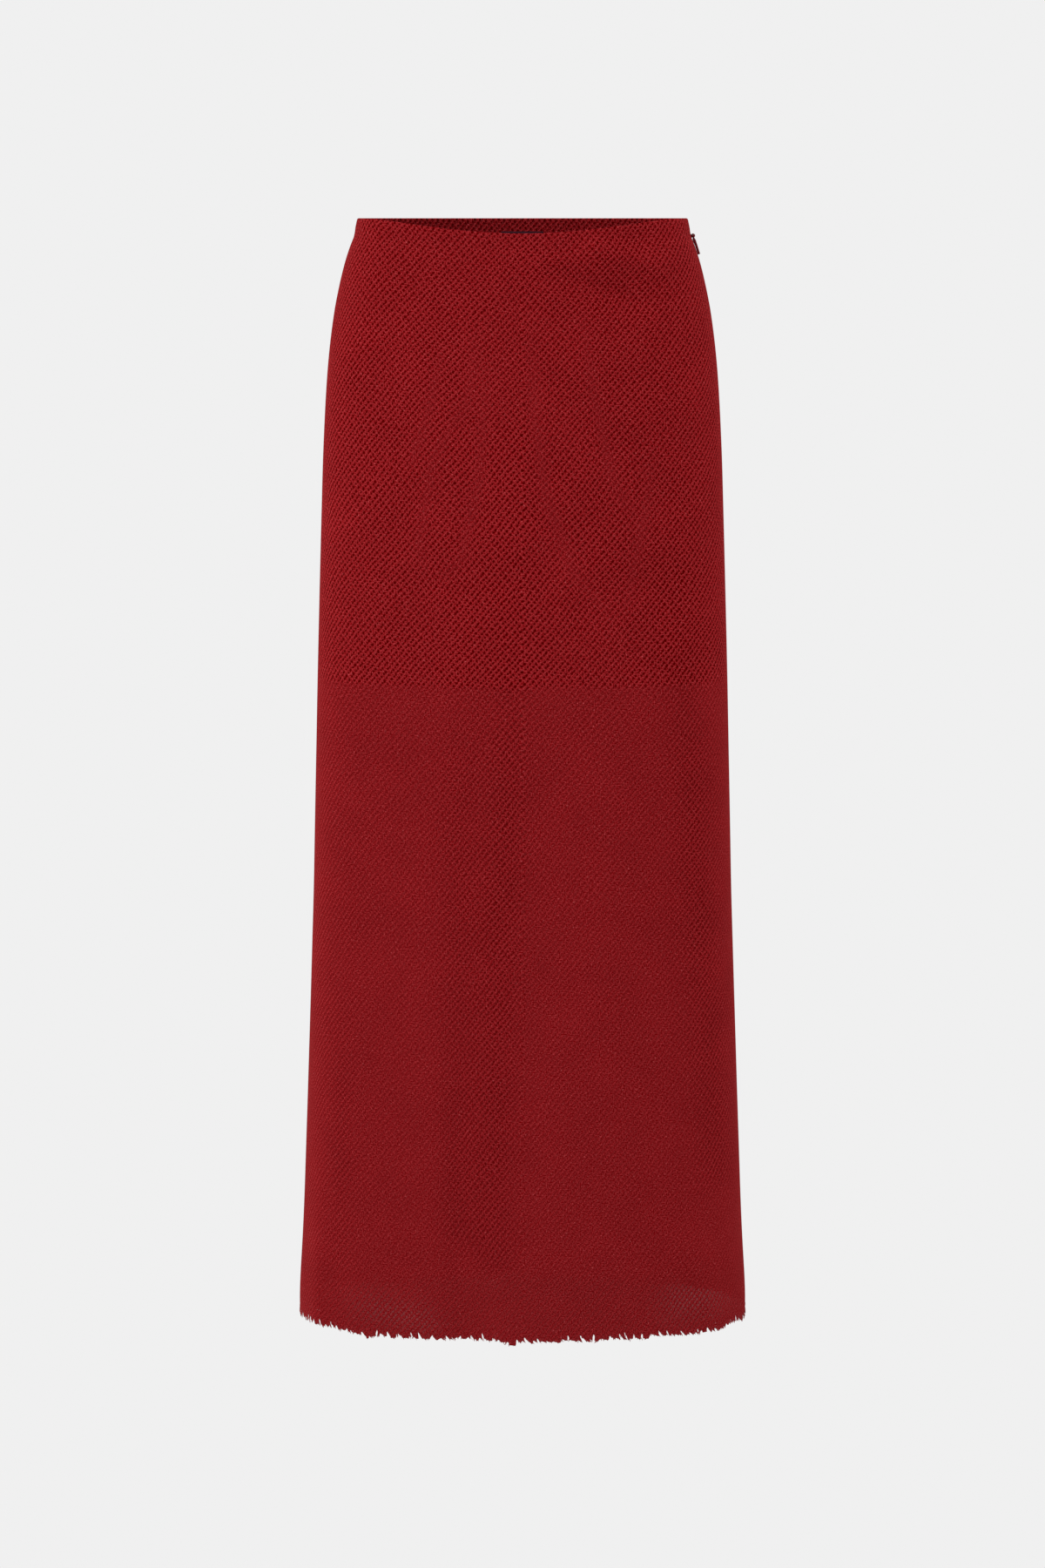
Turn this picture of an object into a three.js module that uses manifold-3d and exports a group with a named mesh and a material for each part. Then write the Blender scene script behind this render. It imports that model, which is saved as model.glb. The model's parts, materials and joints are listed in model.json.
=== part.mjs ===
// A bias-cut skirt, filled out as if worn, with no wearer.
// Millimetres, +Z up. The origin is the middle of the waist, level with its rim at the sides and the back.
// The front faces -Y. The zip is in the wearer's left side seam, at +X.
import * as THREE from "three";
import { mergeVertices } from "three/addons/utils/BufferGeometryUtils.js";
import Module from "manifold-3d";

// ---------- driving dimensions ----------

const SKIRT_LENGTH = 940; // from the rim at the sides to the tips of the frayed edge
const FRAY_REACH = 8; // loose yarn ends below the last whole row of weave
const HEM = SKIRT_LENGTH - FRAY_REACH;
const HEM_LEAN = 1; // the left side hangs this much lower, and the right side as much higher
const FRONT_DIP = 12.4; // how far the rim dips at the centre front
const DIP_HALF_WIDTH = 134;
const DIP_FADE = 170; // the dip has levelled out this far down

const BAND = 14.5; // depth of the faced band at the waist
const LINING_LENGTH = 385;
const LINING_FLARE = 4.4; // how far the lining hangs inside the cloth, below the band
const LINING_DROP = 26; // the stretch over which it leaves the cloth

const CLOTH = 1.2;
const THIN_CLOTH = 1;
const SEAM_GAP = 0.3;
const LAYER_GAP = 0.4;
const COLUMNS = 32; // faces across each panel
const INNER_STEP = 2; // the facing and the lining have one face to this many of the panel's
const ROUNDNESS = 2.2; // exponent of the level sections: 2 is an ellipse, more is squarer

// Level sections of the cloth's outer face: half the width, and the depth of the front and of the back
// from the side seams.
const SECTIONS = [
  { down: 0, halfWidth: 138.8, front: 95, back: 99 },
  { down: 7, halfWidth: 140.4, front: 95.6, back: 100 },
  { down: 14.5, halfWidth: 141.4, front: 96.2, back: 101 },
  { down: 22, halfWidth: 144.6, front: 98, back: 103.4 },
  { down: 30, halfWidth: 147.2, front: 99.4, back: 105.4 },
  { down: 40, halfWidth: 150.2, front: 100.8, back: 107.4 },
  { down: 55, halfWidth: 153.6, front: 102.4, back: 110 },
  { down: 75, halfWidth: 157.6, front: 104, back: 112.8 },
  { down: 110, halfWidth: 162.6, front: 105.6, back: 115.8 },
  { down: 150, halfWidth: 166, front: 106.4, back: 117.4 },
  { down: 200, halfWidth: 168.6, front: 106.8, back: 118 },
  { down: 260, halfWidth: 170.6, front: 107.4, back: 118 },
  { down: 320, halfWidth: 172.4, front: 108, back: 118 },
  { down: 385, halfWidth: 174.2, front: 108.8, back: 118 },
  { down: 480, halfWidth: 176.5, front: 110, back: 118.4 },
  { down: 570, halfWidth: 178.6, front: 111.4, back: 119 },
  { down: 660, halfWidth: 181.6, front: 113, back: 120 },
  { down: 750, halfWidth: 184.8, front: 114.8, back: 121.4 },
  { down: 840, halfWidth: 188.2, front: 116.6, back: 123 },
  { down: 890, halfWidth: 190.6, front: 117.8, back: 124 },
  { down: HEM, halfWidth: 192.6, front: 118.8, back: 124.8 },
];

// The largest folds, each along a line on its panel. A height below 0 is a hollow. One that is open runs
// out through the hem at full height, and the others die away at both ends.
const FOLDS = [
  { panel: "front", x0: 24, down0: 24, x1: 106, down1: 66, width: 13, height: -3, open: false },
  { panel: "front", x0: -50, down0: 560, x1: -48, down1: 930, width: 22, height: -3.4, open: true },
  { panel: "front", x0: -170, down0: 740, x1: -173, down1: 930, width: 9, height: 3.6, open: true },
  { panel: "front", x0: 120, down0: 760, x1: 158, down1: 930, width: 15, height: 3.4, open: true },
  { panel: "back", x0: -36, down0: 30, x1: -104, down1: 74, width: 14, height: -2.6, open: false },
  { panel: "back", x0: 52, down0: 520, x1: 60, down1: 930, width: 24, height: -3.8, open: true },
  { panel: "back", x0: -76, down0: 640, x1: -70, down1: 930, width: 20, height: -3, open: true },
  { panel: "back", x0: 160, down0: 700, x1: 166, down1: 930, width: 12, height: 3.4, open: true },
];
const FOLD_CLEAR_OF_SEAM = 24;
const FOLD_CLEAR_OF_BAND = 16;

const LABEL = { width: 37, height: 18, below: 10, thick: 1 }; // below: from the rim at the centre back

const ZIP = { top: 4, end: 200, tail: 4, tape: 11, coil: 4.4, coilThick: 1.6 }; // tail: tape below the coil
// The slider's body, whose tilt follows the cloth, its neck with the slit that it passes through, and the
// ring outside that holds the pull. The ring's centre is measured out from the cloth's face.
const SLIDER = { down: 15, tilt: THREE.MathUtils.degToRad(16), length: 8.4, width: 6.2, thick: 2.5 };
const NECK = { width: 1.2, height: 3, slitWidth: 1.9, slitTop: 12.9, slitEnd: 17.8 };
const RING = { inner: 0.9, outer: 1.8, width: 1.4, centre: 1.75 };

// The pull's bar is given by half its height, and its window by how far it reaches below the bar's middle.
const PULL = { length: 16.5, width: 4.6, taper: 0.5, thick: 1, bar: 0.55, window: 2.45 };
const PULL_LEAN = THREE.MathUtils.degToRad(18); // from the vertical, as it lies on the cloth

// ---------- materials ----------

function finish(color, roughness, metalness) {
  return new THREE.MeshStandardMaterial({ color, roughness, metalness });
}

const CREPE = finish("#7c151b", 0.85, 0);
const SATIN = finish("#5e0f16", 0.6, 0);
const TAPE = finish("#65131a", 0.8, 0);
const ENAMEL = finish("#4e1218", 0.4, 0.3);
const WOVEN_LABEL = finish("#14161f", 0.7, 0);

// ---------- the form of the cloth ----------

const PANELS = {
  front: { side: -1, depth: "front" },
  back: { side: 1, depth: "back" },
};

const clamp = THREE.MathUtils.clamp;
const smooth = THREE.MathUtils.smoothstep;

// The level section at a depth below the rim, straight between the rows of the table.
function sectionAt(down) {
  let row = 0;
  while (row < SECTIONS.length - 2 && SECTIONS[row + 1].down < down) row += 1;
  const upper = SECTIONS[row];
  const lower = SECTIONS[row + 1];
  const share = (down - upper.down) / (lower.down - upper.down);
  const between = (key) => THREE.MathUtils.lerp(upper[key], lower[key], share);
  return { halfWidth: between("halfWidth"), front: between("front"), back: between("back") };
}

// How much lower a point is than its place below the side rim: the front's dip, and the hem's lean.
function sagAt(panel, x, down) {
  const across = clamp(Math.abs(x) / DIP_HALF_WIDTH, 0, 1);
  const dip = FRONT_DIP * (1 - across ** 2) ** 1.5 * clamp(1 - down / DIP_FADE, 0, 1);
  const lean = HEM_LEAN * (x / SECTIONS.at(-1).halfWidth) * (down / HEM) ** 3;
  return (panel === "front" ? dip : 0) + lean;
}

// The height of all folds at a place on a panel.
function foldHeight(panel, x, y, down) {
  const clear = smooth(Math.abs(y), 0, FOLD_CLEAR_OF_SEAM) * smooth(down, BAND, BAND + FOLD_CLEAR_OF_BAND);
  let height = 0;
  for (const fold of FOLDS) {
    if (fold.panel !== panel) continue;
    const alongX = fold.x1 - fold.x0;
    const alongDown = fold.down1 - fold.down0;
    const share = ((x - fold.x0) * alongX + (down - fold.down0) * alongDown) / (alongX ** 2 + alongDown ** 2);
    const held = clamp(share, 0, 1);
    const off = Math.hypot(x - fold.x0 - held * alongX, down - fold.down0 - held * alongDown);
    const strength = fold.open ? smooth(share, 0, 1) : Math.sin(Math.PI * held);
    height += fold.height * strength * Math.exp(-((off / fold.width) ** 2));
  }
  return height * clear;
}

// The outer face at a whole column, with the level direction straight out of it. Column 0 is at the right
// side seam and the last one at the left.
function ribPoint(panel, column, down) {
  const { side, depth } = PANELS[panel];
  const section = sectionAt(down);
  const angle = Math.PI * (1 - column / COLUMNS);
  const cos = Math.cos(angle);
  const sin = Math.abs(Math.sin(angle));
  const x = section.halfWidth * Math.sign(cos) * Math.abs(cos) ** (2 / ROUNDNESS);
  const y = side * section[depth] * sin ** (2 / ROUNDNESS);
  const out = new THREE.Vector3(
    (Math.sign(x) * Math.abs(x / section.halfWidth) ** (ROUNDNESS - 1)) / section.halfWidth,
    (side * Math.abs(y / section[depth]) ** (ROUNDNESS - 1)) / section[depth],
    0,
  ).normalize();
  const place = new THREE.Vector3(x, y, -down - sagAt(panel, x, down));
  place.addScaledVector(out, foldHeight(panel, x, y, down));
  return { place, out };
}

// A point of the cloth, moved in from its outer face. Between two columns it lies on the flat face there, and
// step is how many columns each flat face spans.
function clothPoint(panel, column, down, inset, step = 1) {
  const first = Math.min(Math.floor(column / step) * step, COLUMNS - step);
  const share = (column - first) / step;
  const a = ribPoint(panel, first, down);
  const b = ribPoint(panel, first + step, down);
  const out = a.out.lerp(b.out, share).normalize();
  return a.place.lerp(b.place, share).addScaledVector(out, -inset);
}

// The column, counted back from the left side seam, that lies a given way along Y from it.
function columnNearZip(panel, down, reach) {
  const lastFace = Math.abs(ribPoint(panel, COLUMNS - 1, down).place.y);
  return COLUMNS - reach / lastFace;
}

// ---------- solids ----------

const wasm = await Module();
wasm.setup();

function solidOf(geometry) {
  const bare = geometry.clone();
  bare.deleteAttribute("normal");
  bare.deleteAttribute("uv");
  const merged = mergeVertices(bare, 1e-4);
  const vertProperties = merged.attributes.position.array;
  const triVerts = new Uint32Array(merged.index.array);
  return new wasm.Manifold(new wasm.Mesh({ numProp: 3, vertProperties, triVerts }));
}

function geometryOf(solid) {
  const mesh = solid.getMesh();
  const geometry = new THREE.BufferGeometry();
  geometry.setAttribute("position", new THREE.BufferAttribute(mesh.vertProperties, 3));
  geometry.setIndex(new THREE.BufferAttribute(mesh.triVerts, 1));
  geometry.computeVertexNormals();
  return geometry;
}

// A closed wall over a grid: point(i, j, inner) gives the outer or the inner face at column i and row j.
function wall(panel, columnCount, rowCount, point) {
  const positions = [];
  for (const inner of [false, true]) {
    for (let row = 0; row < rowCount; row += 1) {
      for (let column = 0; column < columnCount; column += 1) {
        positions.push(...point(column, row, inner).toArray());
      }
    }
  }
  const at = (column, row, inner) => (inner ? rowCount * columnCount : 0) + row * columnCount + column;
  const index = [];
  const quad = (a, b, c, d) => {
    if (PANELS[panel].side < 0) index.push(a, b, c, a, c, d);
    else index.push(a, c, b, a, d, c);
  };
  for (let row = 0; row + 1 < rowCount; row += 1) {
    for (let column = 0; column + 1 < columnCount; column += 1) {
      const corners = (inner) => [
        at(column, row, inner),
        at(column, row + 1, inner),
        at(column + 1, row + 1, inner),
        at(column + 1, row, inner),
      ];
      quad(...corners(false));
      quad(...corners(true).reverse());
    }
  }
  const edge = (a, b) => quad(at(...a, false), at(...a, true), at(...b, true), at(...b, false));
  const lastColumn = columnCount - 1;
  const lastRow = rowCount - 1;
  for (let column = 0; column < lastColumn; column += 1) {
    edge([column + 1, 0], [column, 0]);
    edge([column, lastRow], [column + 1, lastRow]);
  }
  for (let row = 0; row < lastRow; row += 1) {
    edge([0, row], [0, row + 1]);
    edge([lastColumn, row + 1], [lastColumn, row]);
  }
  const geometry = new THREE.BufferGeometry();
  geometry.setAttribute("position", new THREE.Float32BufferAttribute(positions, 3));
  geometry.setIndex(index);
  geometry.computeVertexNormals();
  return geometry;
}

// A wall of cloth right across a panel. inset(down) is how far its outer face lies inside the panel's.
function clothWall(panel, rows, inset, thick, step = 1) {
  const count = COLUMNS / step + 1;
  return wall(panel, count, rows.length, (column, row, inner) => {
    const point = clothPoint(panel, column * step, rows[row], inset(rows[row]) + (inner ? thick : 0));
    if (column === 0 || column === count - 1) point.y = (PANELS[panel].side * SEAM_GAP) / 2;
    return point;
  });
}

// The rows of the section table that lie inside a stretch, with the stretch's own two ends.
function rowsBetween(top, end, every = 1) {
  const inside = SECTIONS.map((section) => section.down).filter((down) => down > top && down < end);
  return [top, ...inside.filter((down, i) => i % every === every - 1), end];
}

// A block across the left side seam, to cut what the zip passes through.
function seamBlock(top, end, halfY) {
  const block = new THREE.BoxGeometry(100, 2 * halfY, end - top);
  return solidOf(block.translate(150, 0, -(top + end) / 2));
}

// ---------- the pieces ----------

const skirt = new THREE.Group();

function add(name, geometry, material, parent = skirt) {
  const mesh = new THREE.Mesh(geometry, material);
  mesh.name = name;
  parent.add(mesh);
}

const FACING_INSET = CLOTH + LAYER_GAP;
const TAPE_INSET = CLOTH + SEAM_GAP;
const COIL_INSET = TAPE_INSET + THIN_CLOTH + LAYER_GAP;
const slit = seamBlock(NECK.slitTop, NECK.slitEnd, NECK.slitWidth / 2);
const zipRoom = seamBlock(-5, ZIP.end + SEAM_GAP, ZIP.tape + SEAM_GAP);

function liningInset(down) {
  return FACING_INSET + LINING_FLARE * clamp((down - BAND) / LINING_DROP, 0, 1);
}

function outerCloth(panel) {
  const cloth = solidOf(clothWall(panel, rowsBetween(0, HEM), () => 0, CLOTH));
  add(panel + "_panel", geometryOf(cloth.subtract(slit)), CREPE);
}

function facing(panel) {
  const band = clothWall(panel, [0, 7, BAND - SEAM_GAP / 2], () => FACING_INSET, THIN_CLOTH, INNER_STEP);
  add("waist_facing_" + panel, geometryOf(solidOf(band).subtract(zipRoom)), CREPE);
}

function lining(panel) {
  const rows = rowsBetween(BAND + SEAM_GAP / 2, LINING_LENGTH, 2);
  const cloth = clothWall(panel, rows, liningInset, THIN_CLOTH, INNER_STEP);
  add("lining_" + panel, geometryOf(solidOf(cloth).subtract(zipRoom)), SATIN);
}

function hemFray(panel) {
  const inset = (CLOTH - THIN_CLOTH) / 2;
  add("hem_fray_" + panel, clothWall(panel, [HEM + SEAM_GAP, SKIRT_LENGTH], () => inset, THIN_CLOTH), CREPE);
}

// The label lies over the facing and the top of the lining, at the centre back.
function label() {
  const inset = (down) => liningInset(down) + THIN_CLOTH + LAYER_GAP;
  const middle = COLUMNS / 2;
  const spacing = ribPoint("back", middle + INNER_STEP, LABEL.below).place.x / INNER_STEP;
  const half = LABEL.width / 2 / spacing;
  const columns = [middle - half, middle, middle + half];
  const rows = [LABEL.below, BAND, LABEL.below + LABEL.height];
  const leaf = wall("back", columns.length, rows.length, (column, row, inner) =>
    clothPoint("back", columns[column], rows[row], inset(rows[row]) + (inner ? LABEL.thick : 0), INNER_STEP),
  );
  add("label", leaf, WOVEN_LABEL);
}

function zipTape(panel) {
  const rows = rowsBetween(ZIP.top, ZIP.end);
  const reaches = [ZIP.tape, ZIP.tape / 2, SEAM_GAP];
  const tape = wall(panel, reaches.length, rows.length, (column, row, inner) =>
    clothPoint(
      panel,
      columnNearZip(panel, rows[row], reaches[column]),
      rows[row],
      TAPE_INSET + (inner ? THIN_CLOTH : 0),
    ),
  );
  add("zip_tape_" + panel, geometryOf(solidOf(tape).subtract(slit)), TAPE);
}

// The closed chain, from under the slider to the end of the zip.
function zipCoil() {
  const innerCorner = COIL_INSET + SLIDER.thick;
  const sliderEnd = (SLIDER.length / 2) * Math.cos(SLIDER.tilt) + innerCorner * Math.sin(SLIDER.tilt);
  const rows = rowsBetween(SLIDER.down + sliderEnd + SEAM_GAP, ZIP.end - ZIP.tail);
  const coil = wall("front", 2, rows.length, (column, row, inner) => {
    const point = clothPoint("front", COLUMNS, rows[row], COIL_INSET + (inner ? ZIP.coilThick : 0));
    point.y = (column ? 0.5 : -0.5) * ZIP.coil;
    return point;
  });
  add("zip_coil", coil, TAPE);
}

// The slider's own axes: X out of the cloth, Z up along it. Its body is behind the seam, and its neck goes
// out through the seam to the ring that holds the pull.
function zipSlider() {
  const body = new THREE.BoxGeometry(SLIDER.thick, SLIDER.width, SLIDER.length);
  const bodyMiddle = -COIL_INSET - SLIDER.thick / 2;
  const ringWall = (RING.outer + RING.inner) / 2;
  const neckTo = RING.centre - ringWall;
  const neck = new THREE.BoxGeometry(neckTo - bodyMiddle, NECK.width, NECK.height);
  const disc = new THREE.CylinderGeometry(RING.outer, RING.outer, RING.width, 24);
  const hole = new THREE.CylinderGeometry(RING.inner, RING.inner, 2 * RING.width, 24);
  disc.translate(RING.centre, 0, 0);
  hole.translate(RING.centre, 0, 0);
  const ring = solidOf(disc).subtract(solidOf(hole));
  const solid = solidOf(body.translate(bodyMiddle, 0, 0))
    .add(solidOf(neck.translate((bodyMiddle + neckTo) / 2, 0, 0)))
    .add(ring);
  return geometryOf(solid);
}

// The pull: a long drop with a window, whose top bar runs through the slider's ring. It is drawn in X and Y
// with the bar at the origin, and hangs along -Y.
function zipPull() {
  const tipHalf = PULL.width / 2;
  const topHalf = tipHalf - PULL.taper;
  const outline = new THREE.Shape();
  outline.moveTo(topHalf, PULL.bar);
  outline.lineTo(-topHalf, PULL.bar);
  outline.lineTo(-tipHalf, -(PULL.length - tipHalf));
  outline.absarc(0, -(PULL.length - tipHalf), tipHalf, Math.PI, 2 * Math.PI, false);
  outline.closePath();
  const windowHalf = RING.width / 2 + SEAM_GAP;
  const opening = new THREE.Path();
  opening.moveTo(-windowHalf, -PULL.bar);
  opening.lineTo(windowHalf, -PULL.bar);
  opening.lineTo(windowHalf, -PULL.window);
  opening.lineTo(-windowHalf, -PULL.window);
  opening.closePath();
  outline.holes.push(opening);
  const plate = new THREE.ExtrudeGeometry(outline, {
    depth: PULL.thick,
    bevelEnabled: false,
    curveSegments: 12,
  });
  plate.translate(0, 0, -PULL.thick / 2);
  plate.rotateX(Math.PI / 2); // now it hangs along -Z and faces Y
  plate.rotateZ(Math.PI / 2); // and now it faces X, as it lies on the seam
  return plate;
}

function zipHead() {
  const slider = new THREE.Group();
  slider.position.set(sectionAt(SLIDER.down).halfWidth, 0, -SLIDER.down);
  slider.rotation.y = -SLIDER.tilt;
  add("zip_slider", zipSlider(), ENAMEL, slider);
  const hinge = new THREE.Group();
  hinge.position.set(RING.centre, 0, 0);
  hinge.rotation.y = SLIDER.tilt - PULL_LEAN;
  add("zip_pull", zipPull(), ENAMEL, hinge);
  slider.add(hinge);
  skirt.add(slider);
}

for (const panel of Object.keys(PANELS)) {
  outerCloth(panel);
  facing(panel);
  lining(panel);
  hemFray(panel);
  zipTape(panel);
}
label();
zipCoil();
zipHead();

export default skirt;
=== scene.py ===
"""A bias-cut skirt in dark red openwork crepe, filled out with no wearer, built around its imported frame."""

import json
import math
import random
from contextlib import contextmanager

import bmesh
import bpy
import numpy as np
from mathutils import Matrix, Vector, noise
from mathutils.bvhtree import BVHTree


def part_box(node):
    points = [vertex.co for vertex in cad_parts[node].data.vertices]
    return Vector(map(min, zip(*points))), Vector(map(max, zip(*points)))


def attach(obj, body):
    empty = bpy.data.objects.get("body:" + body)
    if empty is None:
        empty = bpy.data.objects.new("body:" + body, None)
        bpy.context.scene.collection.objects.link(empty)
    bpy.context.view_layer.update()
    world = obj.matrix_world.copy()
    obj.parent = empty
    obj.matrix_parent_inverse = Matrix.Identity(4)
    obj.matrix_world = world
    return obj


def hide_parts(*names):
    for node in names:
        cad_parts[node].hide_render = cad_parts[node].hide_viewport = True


bl_info = {
    "name": "Bias-cut skirt",
    "version": (1, 0, 0),
    "blender": (4, 5, 0),
    "location": "3D Viewport > Sidebar > Skirt",
    "description": "Builds a bias-cut openwork skirt with a short lining, a side zip and a frayed hem",
    "category": "Add Mesh",
}

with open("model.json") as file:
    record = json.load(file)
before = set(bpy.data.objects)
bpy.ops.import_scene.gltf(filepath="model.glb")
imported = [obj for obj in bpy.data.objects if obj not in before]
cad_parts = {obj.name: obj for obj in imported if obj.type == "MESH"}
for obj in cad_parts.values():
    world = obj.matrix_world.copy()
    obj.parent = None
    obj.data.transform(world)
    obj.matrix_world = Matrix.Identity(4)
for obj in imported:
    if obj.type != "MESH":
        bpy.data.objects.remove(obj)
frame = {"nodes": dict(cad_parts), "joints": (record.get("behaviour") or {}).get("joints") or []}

MM = 0.001
BODY = "skirt"
PULL_BODY = "pull"
SIDES = {"front": -1, "back": 1}
# What sets one panel's waves, its hem's wander and its random draws apart from the other's.
SEEDS = {
    "front": {"waves": 3.0, "wander": 5.0, "draws": 7},
    "back": {"waves": 11.0, "wander": 9.0, "draws": 19},
}
ROUNDNESS = 2.2  # exponent of the skirt's level sections: 2 is an ellipse, more is squarer
SHEEN_TINT = (1.0, 0.45, 0.43, 1.0)
LINING_SHEEN_TINT = (1.0, 0.6, 0.58, 1.0)


def srgb(*values):
    """A colour given in 0 to 255 display values, as the linear one that sliders and shaders hold."""
    shares = [value / 255 for value in values]
    return tuple(share / 12.92 if share <= 0.04045 else ((share + 0.055) / 1.055) ** 2.4 for share in shares)


def smooth_step(value, low, high):
    """0 below low, 1 above high, and soft between, for arrays."""
    share = np.clip((value - low) / (high - low), 0, 1)
    return share * share * (3 - 2 * share)


# ---------- what the frame says ----------


def node_tree(name):
    """A search tree over a node's own mesh."""
    return BVHTree.FromObject(frame["nodes"][name], bpy.context.evaluated_depsgraph_get())


def reach(tree, start, direction, axis):
    """How far out along an axis a ray from outside first meets the node, or None."""
    hit = tree.ray_cast(Vector(start), Vector(direction))[0]
    return None if hit is None else abs(hit[axis])


def rim_dip():
    """How far the front's rim dips at the centre, read from the front panel's top corners."""
    mesh = frame["nodes"]["front_panel"].data
    middle = [v.co.z for v in mesh.vertices if abs(v.co.x) < 5 * MM]
    return -max(middle)


class ClothForm:
    """The form of a front and back wall of the frame: half the width and both depths, level by level."""

    def __init__(self, front_node, back_node, top, foot):
        self.levels = np.linspace(top, foot, 240)
        trees = {"front": node_tree(front_node), "back": node_tree(back_node)}
        self.half_width = self.read(trees["back"], (-1, 2 * MM), (1, 0, 0), 0, "back")
        self.depth = {
            side: self.read(trees[side], (0, sign), (0, -sign, 0), 1, side) for side, sign in SIDES.items()
        }

    def read(self, tree, start, direction, axis, side):
        """One measure at every level, smoothed more and more below the waist's firm band."""
        heights = [-down - dip_at(side, start[0] if axis else 1, down) for down in self.levels]
        found = [reach(tree, (*start, height), direction, axis) for height in heights]
        known = [i for i, value in enumerate(found) if value is not None]
        measures = np.interp(range(len(found)), known, [found[i] for i in known])
        spread = np.clip((self.levels - BAND) / BAND_FADE, 0, 1) * LOOSE_SPREAD + FIRM_SPREAD
        apart = self.levels[:, None] - self.levels[None, :]
        weight = np.exp(-0.5 * (apart / spread[:, None]) ** 2)
        slope = np.gradient(measures, self.levels)
        lifted = measures[None, :] + slope[None, :] * apart
        return (weight * lifted).sum(axis=1) / weight.sum(axis=1)

    def half_at(self, down):
        """Half the width at a depth below the rim."""
        return np.interp(down, self.levels, self.half_width)

    def depth_at(self, side, down):
        """How far the front or the back lies from the middle at a depth below the rim."""
        return np.interp(down, self.levels, self.depth[side])


def dip_at(side, x, down):
    """How much lower the front lies at x than the sides do, which fades out down the skirt."""
    if side != "front":
        return 0 * np.asarray(x, float)
    across = np.clip(np.abs(x) / DIP_HALF_WIDTH, 0, 1)
    return RIM_DIP * (1 - across**2) ** 1.5 * np.clip(1 - np.asarray(down) / DIP_FADE, 0, 1)


BAND = -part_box("waist_facing_back")[0].z
BAND_FADE = 60 * MM  # how far below its firm band the cloth takes to hang freely
FIRM_SPREAD = 1.5 * MM  # how far measures are smoothed in the band, and how much farther below it
LOOSE_SPREAD = 22 * MM
RIM_DIP = rim_dip()
DIP_HALF_WIDTH = 134 * MM  # how far from the middle the front's rim dips
DIP_FADE = 170 * MM  # how far down the skirt that dip fades out
HEM_LEAN = 1 * MM  # how much lower the hem lies at the left side than at the middle
HEM = -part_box("back_panel")[0].z - HEM_LEAN
TIPS = -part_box("hem_fray_back")[0].z - HEM_LEAN
LINING_TOP = -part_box("lining_back")[1].z
LINING_HEM = -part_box("lining_back")[0].z
ZIP_END = -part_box("zip_tape_back")[0].z
SLIDER_DOWN = -frame["joints"][0]["pos_m"][2]
TAPE_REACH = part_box("zip_tape_back")[1].y
FORM = ClothForm("front_panel", "back_panel", 0, HEM)
LINING_FORM = ClothForm("lining_front", "lining_back", LINING_TOP, LINING_HEM)


# ---------- the user's settings ----------


def length_slider(name, description, default):
    """A length in metres that the user can change."""
    return bpy.props.FloatProperty(name=name, description=description, default=default, unit="LENGTH")


def angle_slider(name, description, degrees):
    """An angle that the user can change, given in degrees."""
    return bpy.props.FloatProperty(
        name=name, description=description, default=math.radians(degrees), subtype="ANGLE",
    )


def share_slider(name, description, default):
    """A share from 0 to 1 that the user can change."""
    return bpy.props.FloatProperty(
        name=name, description=description, default=default, min=0, max=1, subtype="FACTOR",
    )


def colour_field(name, description, default):
    """A linear colour that the user can change."""
    return bpy.props.FloatVectorProperty(
        name=name, description=description, default=default, size=3, subtype="COLOR", min=0, max=1,
    )


class CrepeSettings(bpy.types.PropertyGroup):
    """The openwork crepe."""

    warp_repeat: length_slider("Warp repeat", "From row to row of holes", 3.95 * MM)
    weft_repeat: length_slider("Weft repeat", "From one large hole to the next along a row", 6.28 * MM)
    warp_lean: angle_slider("Warp lean", "Direction of the warp, up from level", 131.8)
    weft_lean: angle_slider("Weft lean", "Direction of the weft, up from level", 49.5)
    openness: share_slider("Openness", "How much passes through the middle of a hole", 0.004)
    pulled_open: share_slider("Pulled open", "How much more passes where the hem is stretched", 0.03)
    relief: length_slider("Relief", "Height of the yarns over the holes", 0.5 * MM)
    yarn: colour_field("Yarn", "The yarn's own red", srgb(168, 47, 51))
    yarn_dark: colour_field("Dark yarn", "Its darker fibres", srgb(124, 0, 6))
    # The hole colour is painted shade, laid on the yarn round and in each hole.
    hole: colour_field("Hole", "The shaded yarn round and in a hole", srgb(80, 0, 0))


class HemSettings(bpy.types.PropertyGroup):
    """The raw frayed hem."""

    yarn_radius: length_slider("Yarn radius", "Of a loose end where it leaves the cloth", 0.36 * MM)
    fibre_radius: length_slider("Fibre radius", "Of the fine fibres among them", 0.09 * MM)


class LiningSettings(bpy.types.PropertyGroup):
    """The short lining."""

    colour: colour_field("Colour", "The lining's red", srgb(104, 14, 20))
    hem_depth: length_slider("Hem depth", "Of the turned-up hem", 12 * MM)


class TrimSettings(bpy.types.PropertyGroup):
    """The zip and the label."""

    tape: colour_field("Tape", "The zip tape's red", srgb(104, 18, 24))
    enamel: colour_field("Enamel", "The slider's and the pull's dark red", srgb(102, 16, 21))
    label: colour_field("Label", "The bare label's near black", srgb(50, 20, 31))
    coil_pitch: length_slider("Coil pitch", "From turn to turn of the coil", 1.4 * MM)


class StudioSettings(bpy.types.PropertyGroup):
    """The camera, and the plain pale floor and surroundings."""

    camera_distance: length_slider("Camera distance", "In front of the waist", 3.9)
    camera_pitch: angle_slider("Camera pitch", "How far it looks down", 7)
    lens: bpy.props.FloatProperty(
        name="Lens", description="Focal length in mm on a 36 mm long side", default=105.8,
    )
    floor_drop: length_slider("Floor drop", "From the hem's tips to the floor", 2.0)
    backdrop: colour_field("Backdrop", "The floor's and the far walls' pale grey", (0.871, 0.871, 0.871))


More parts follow.
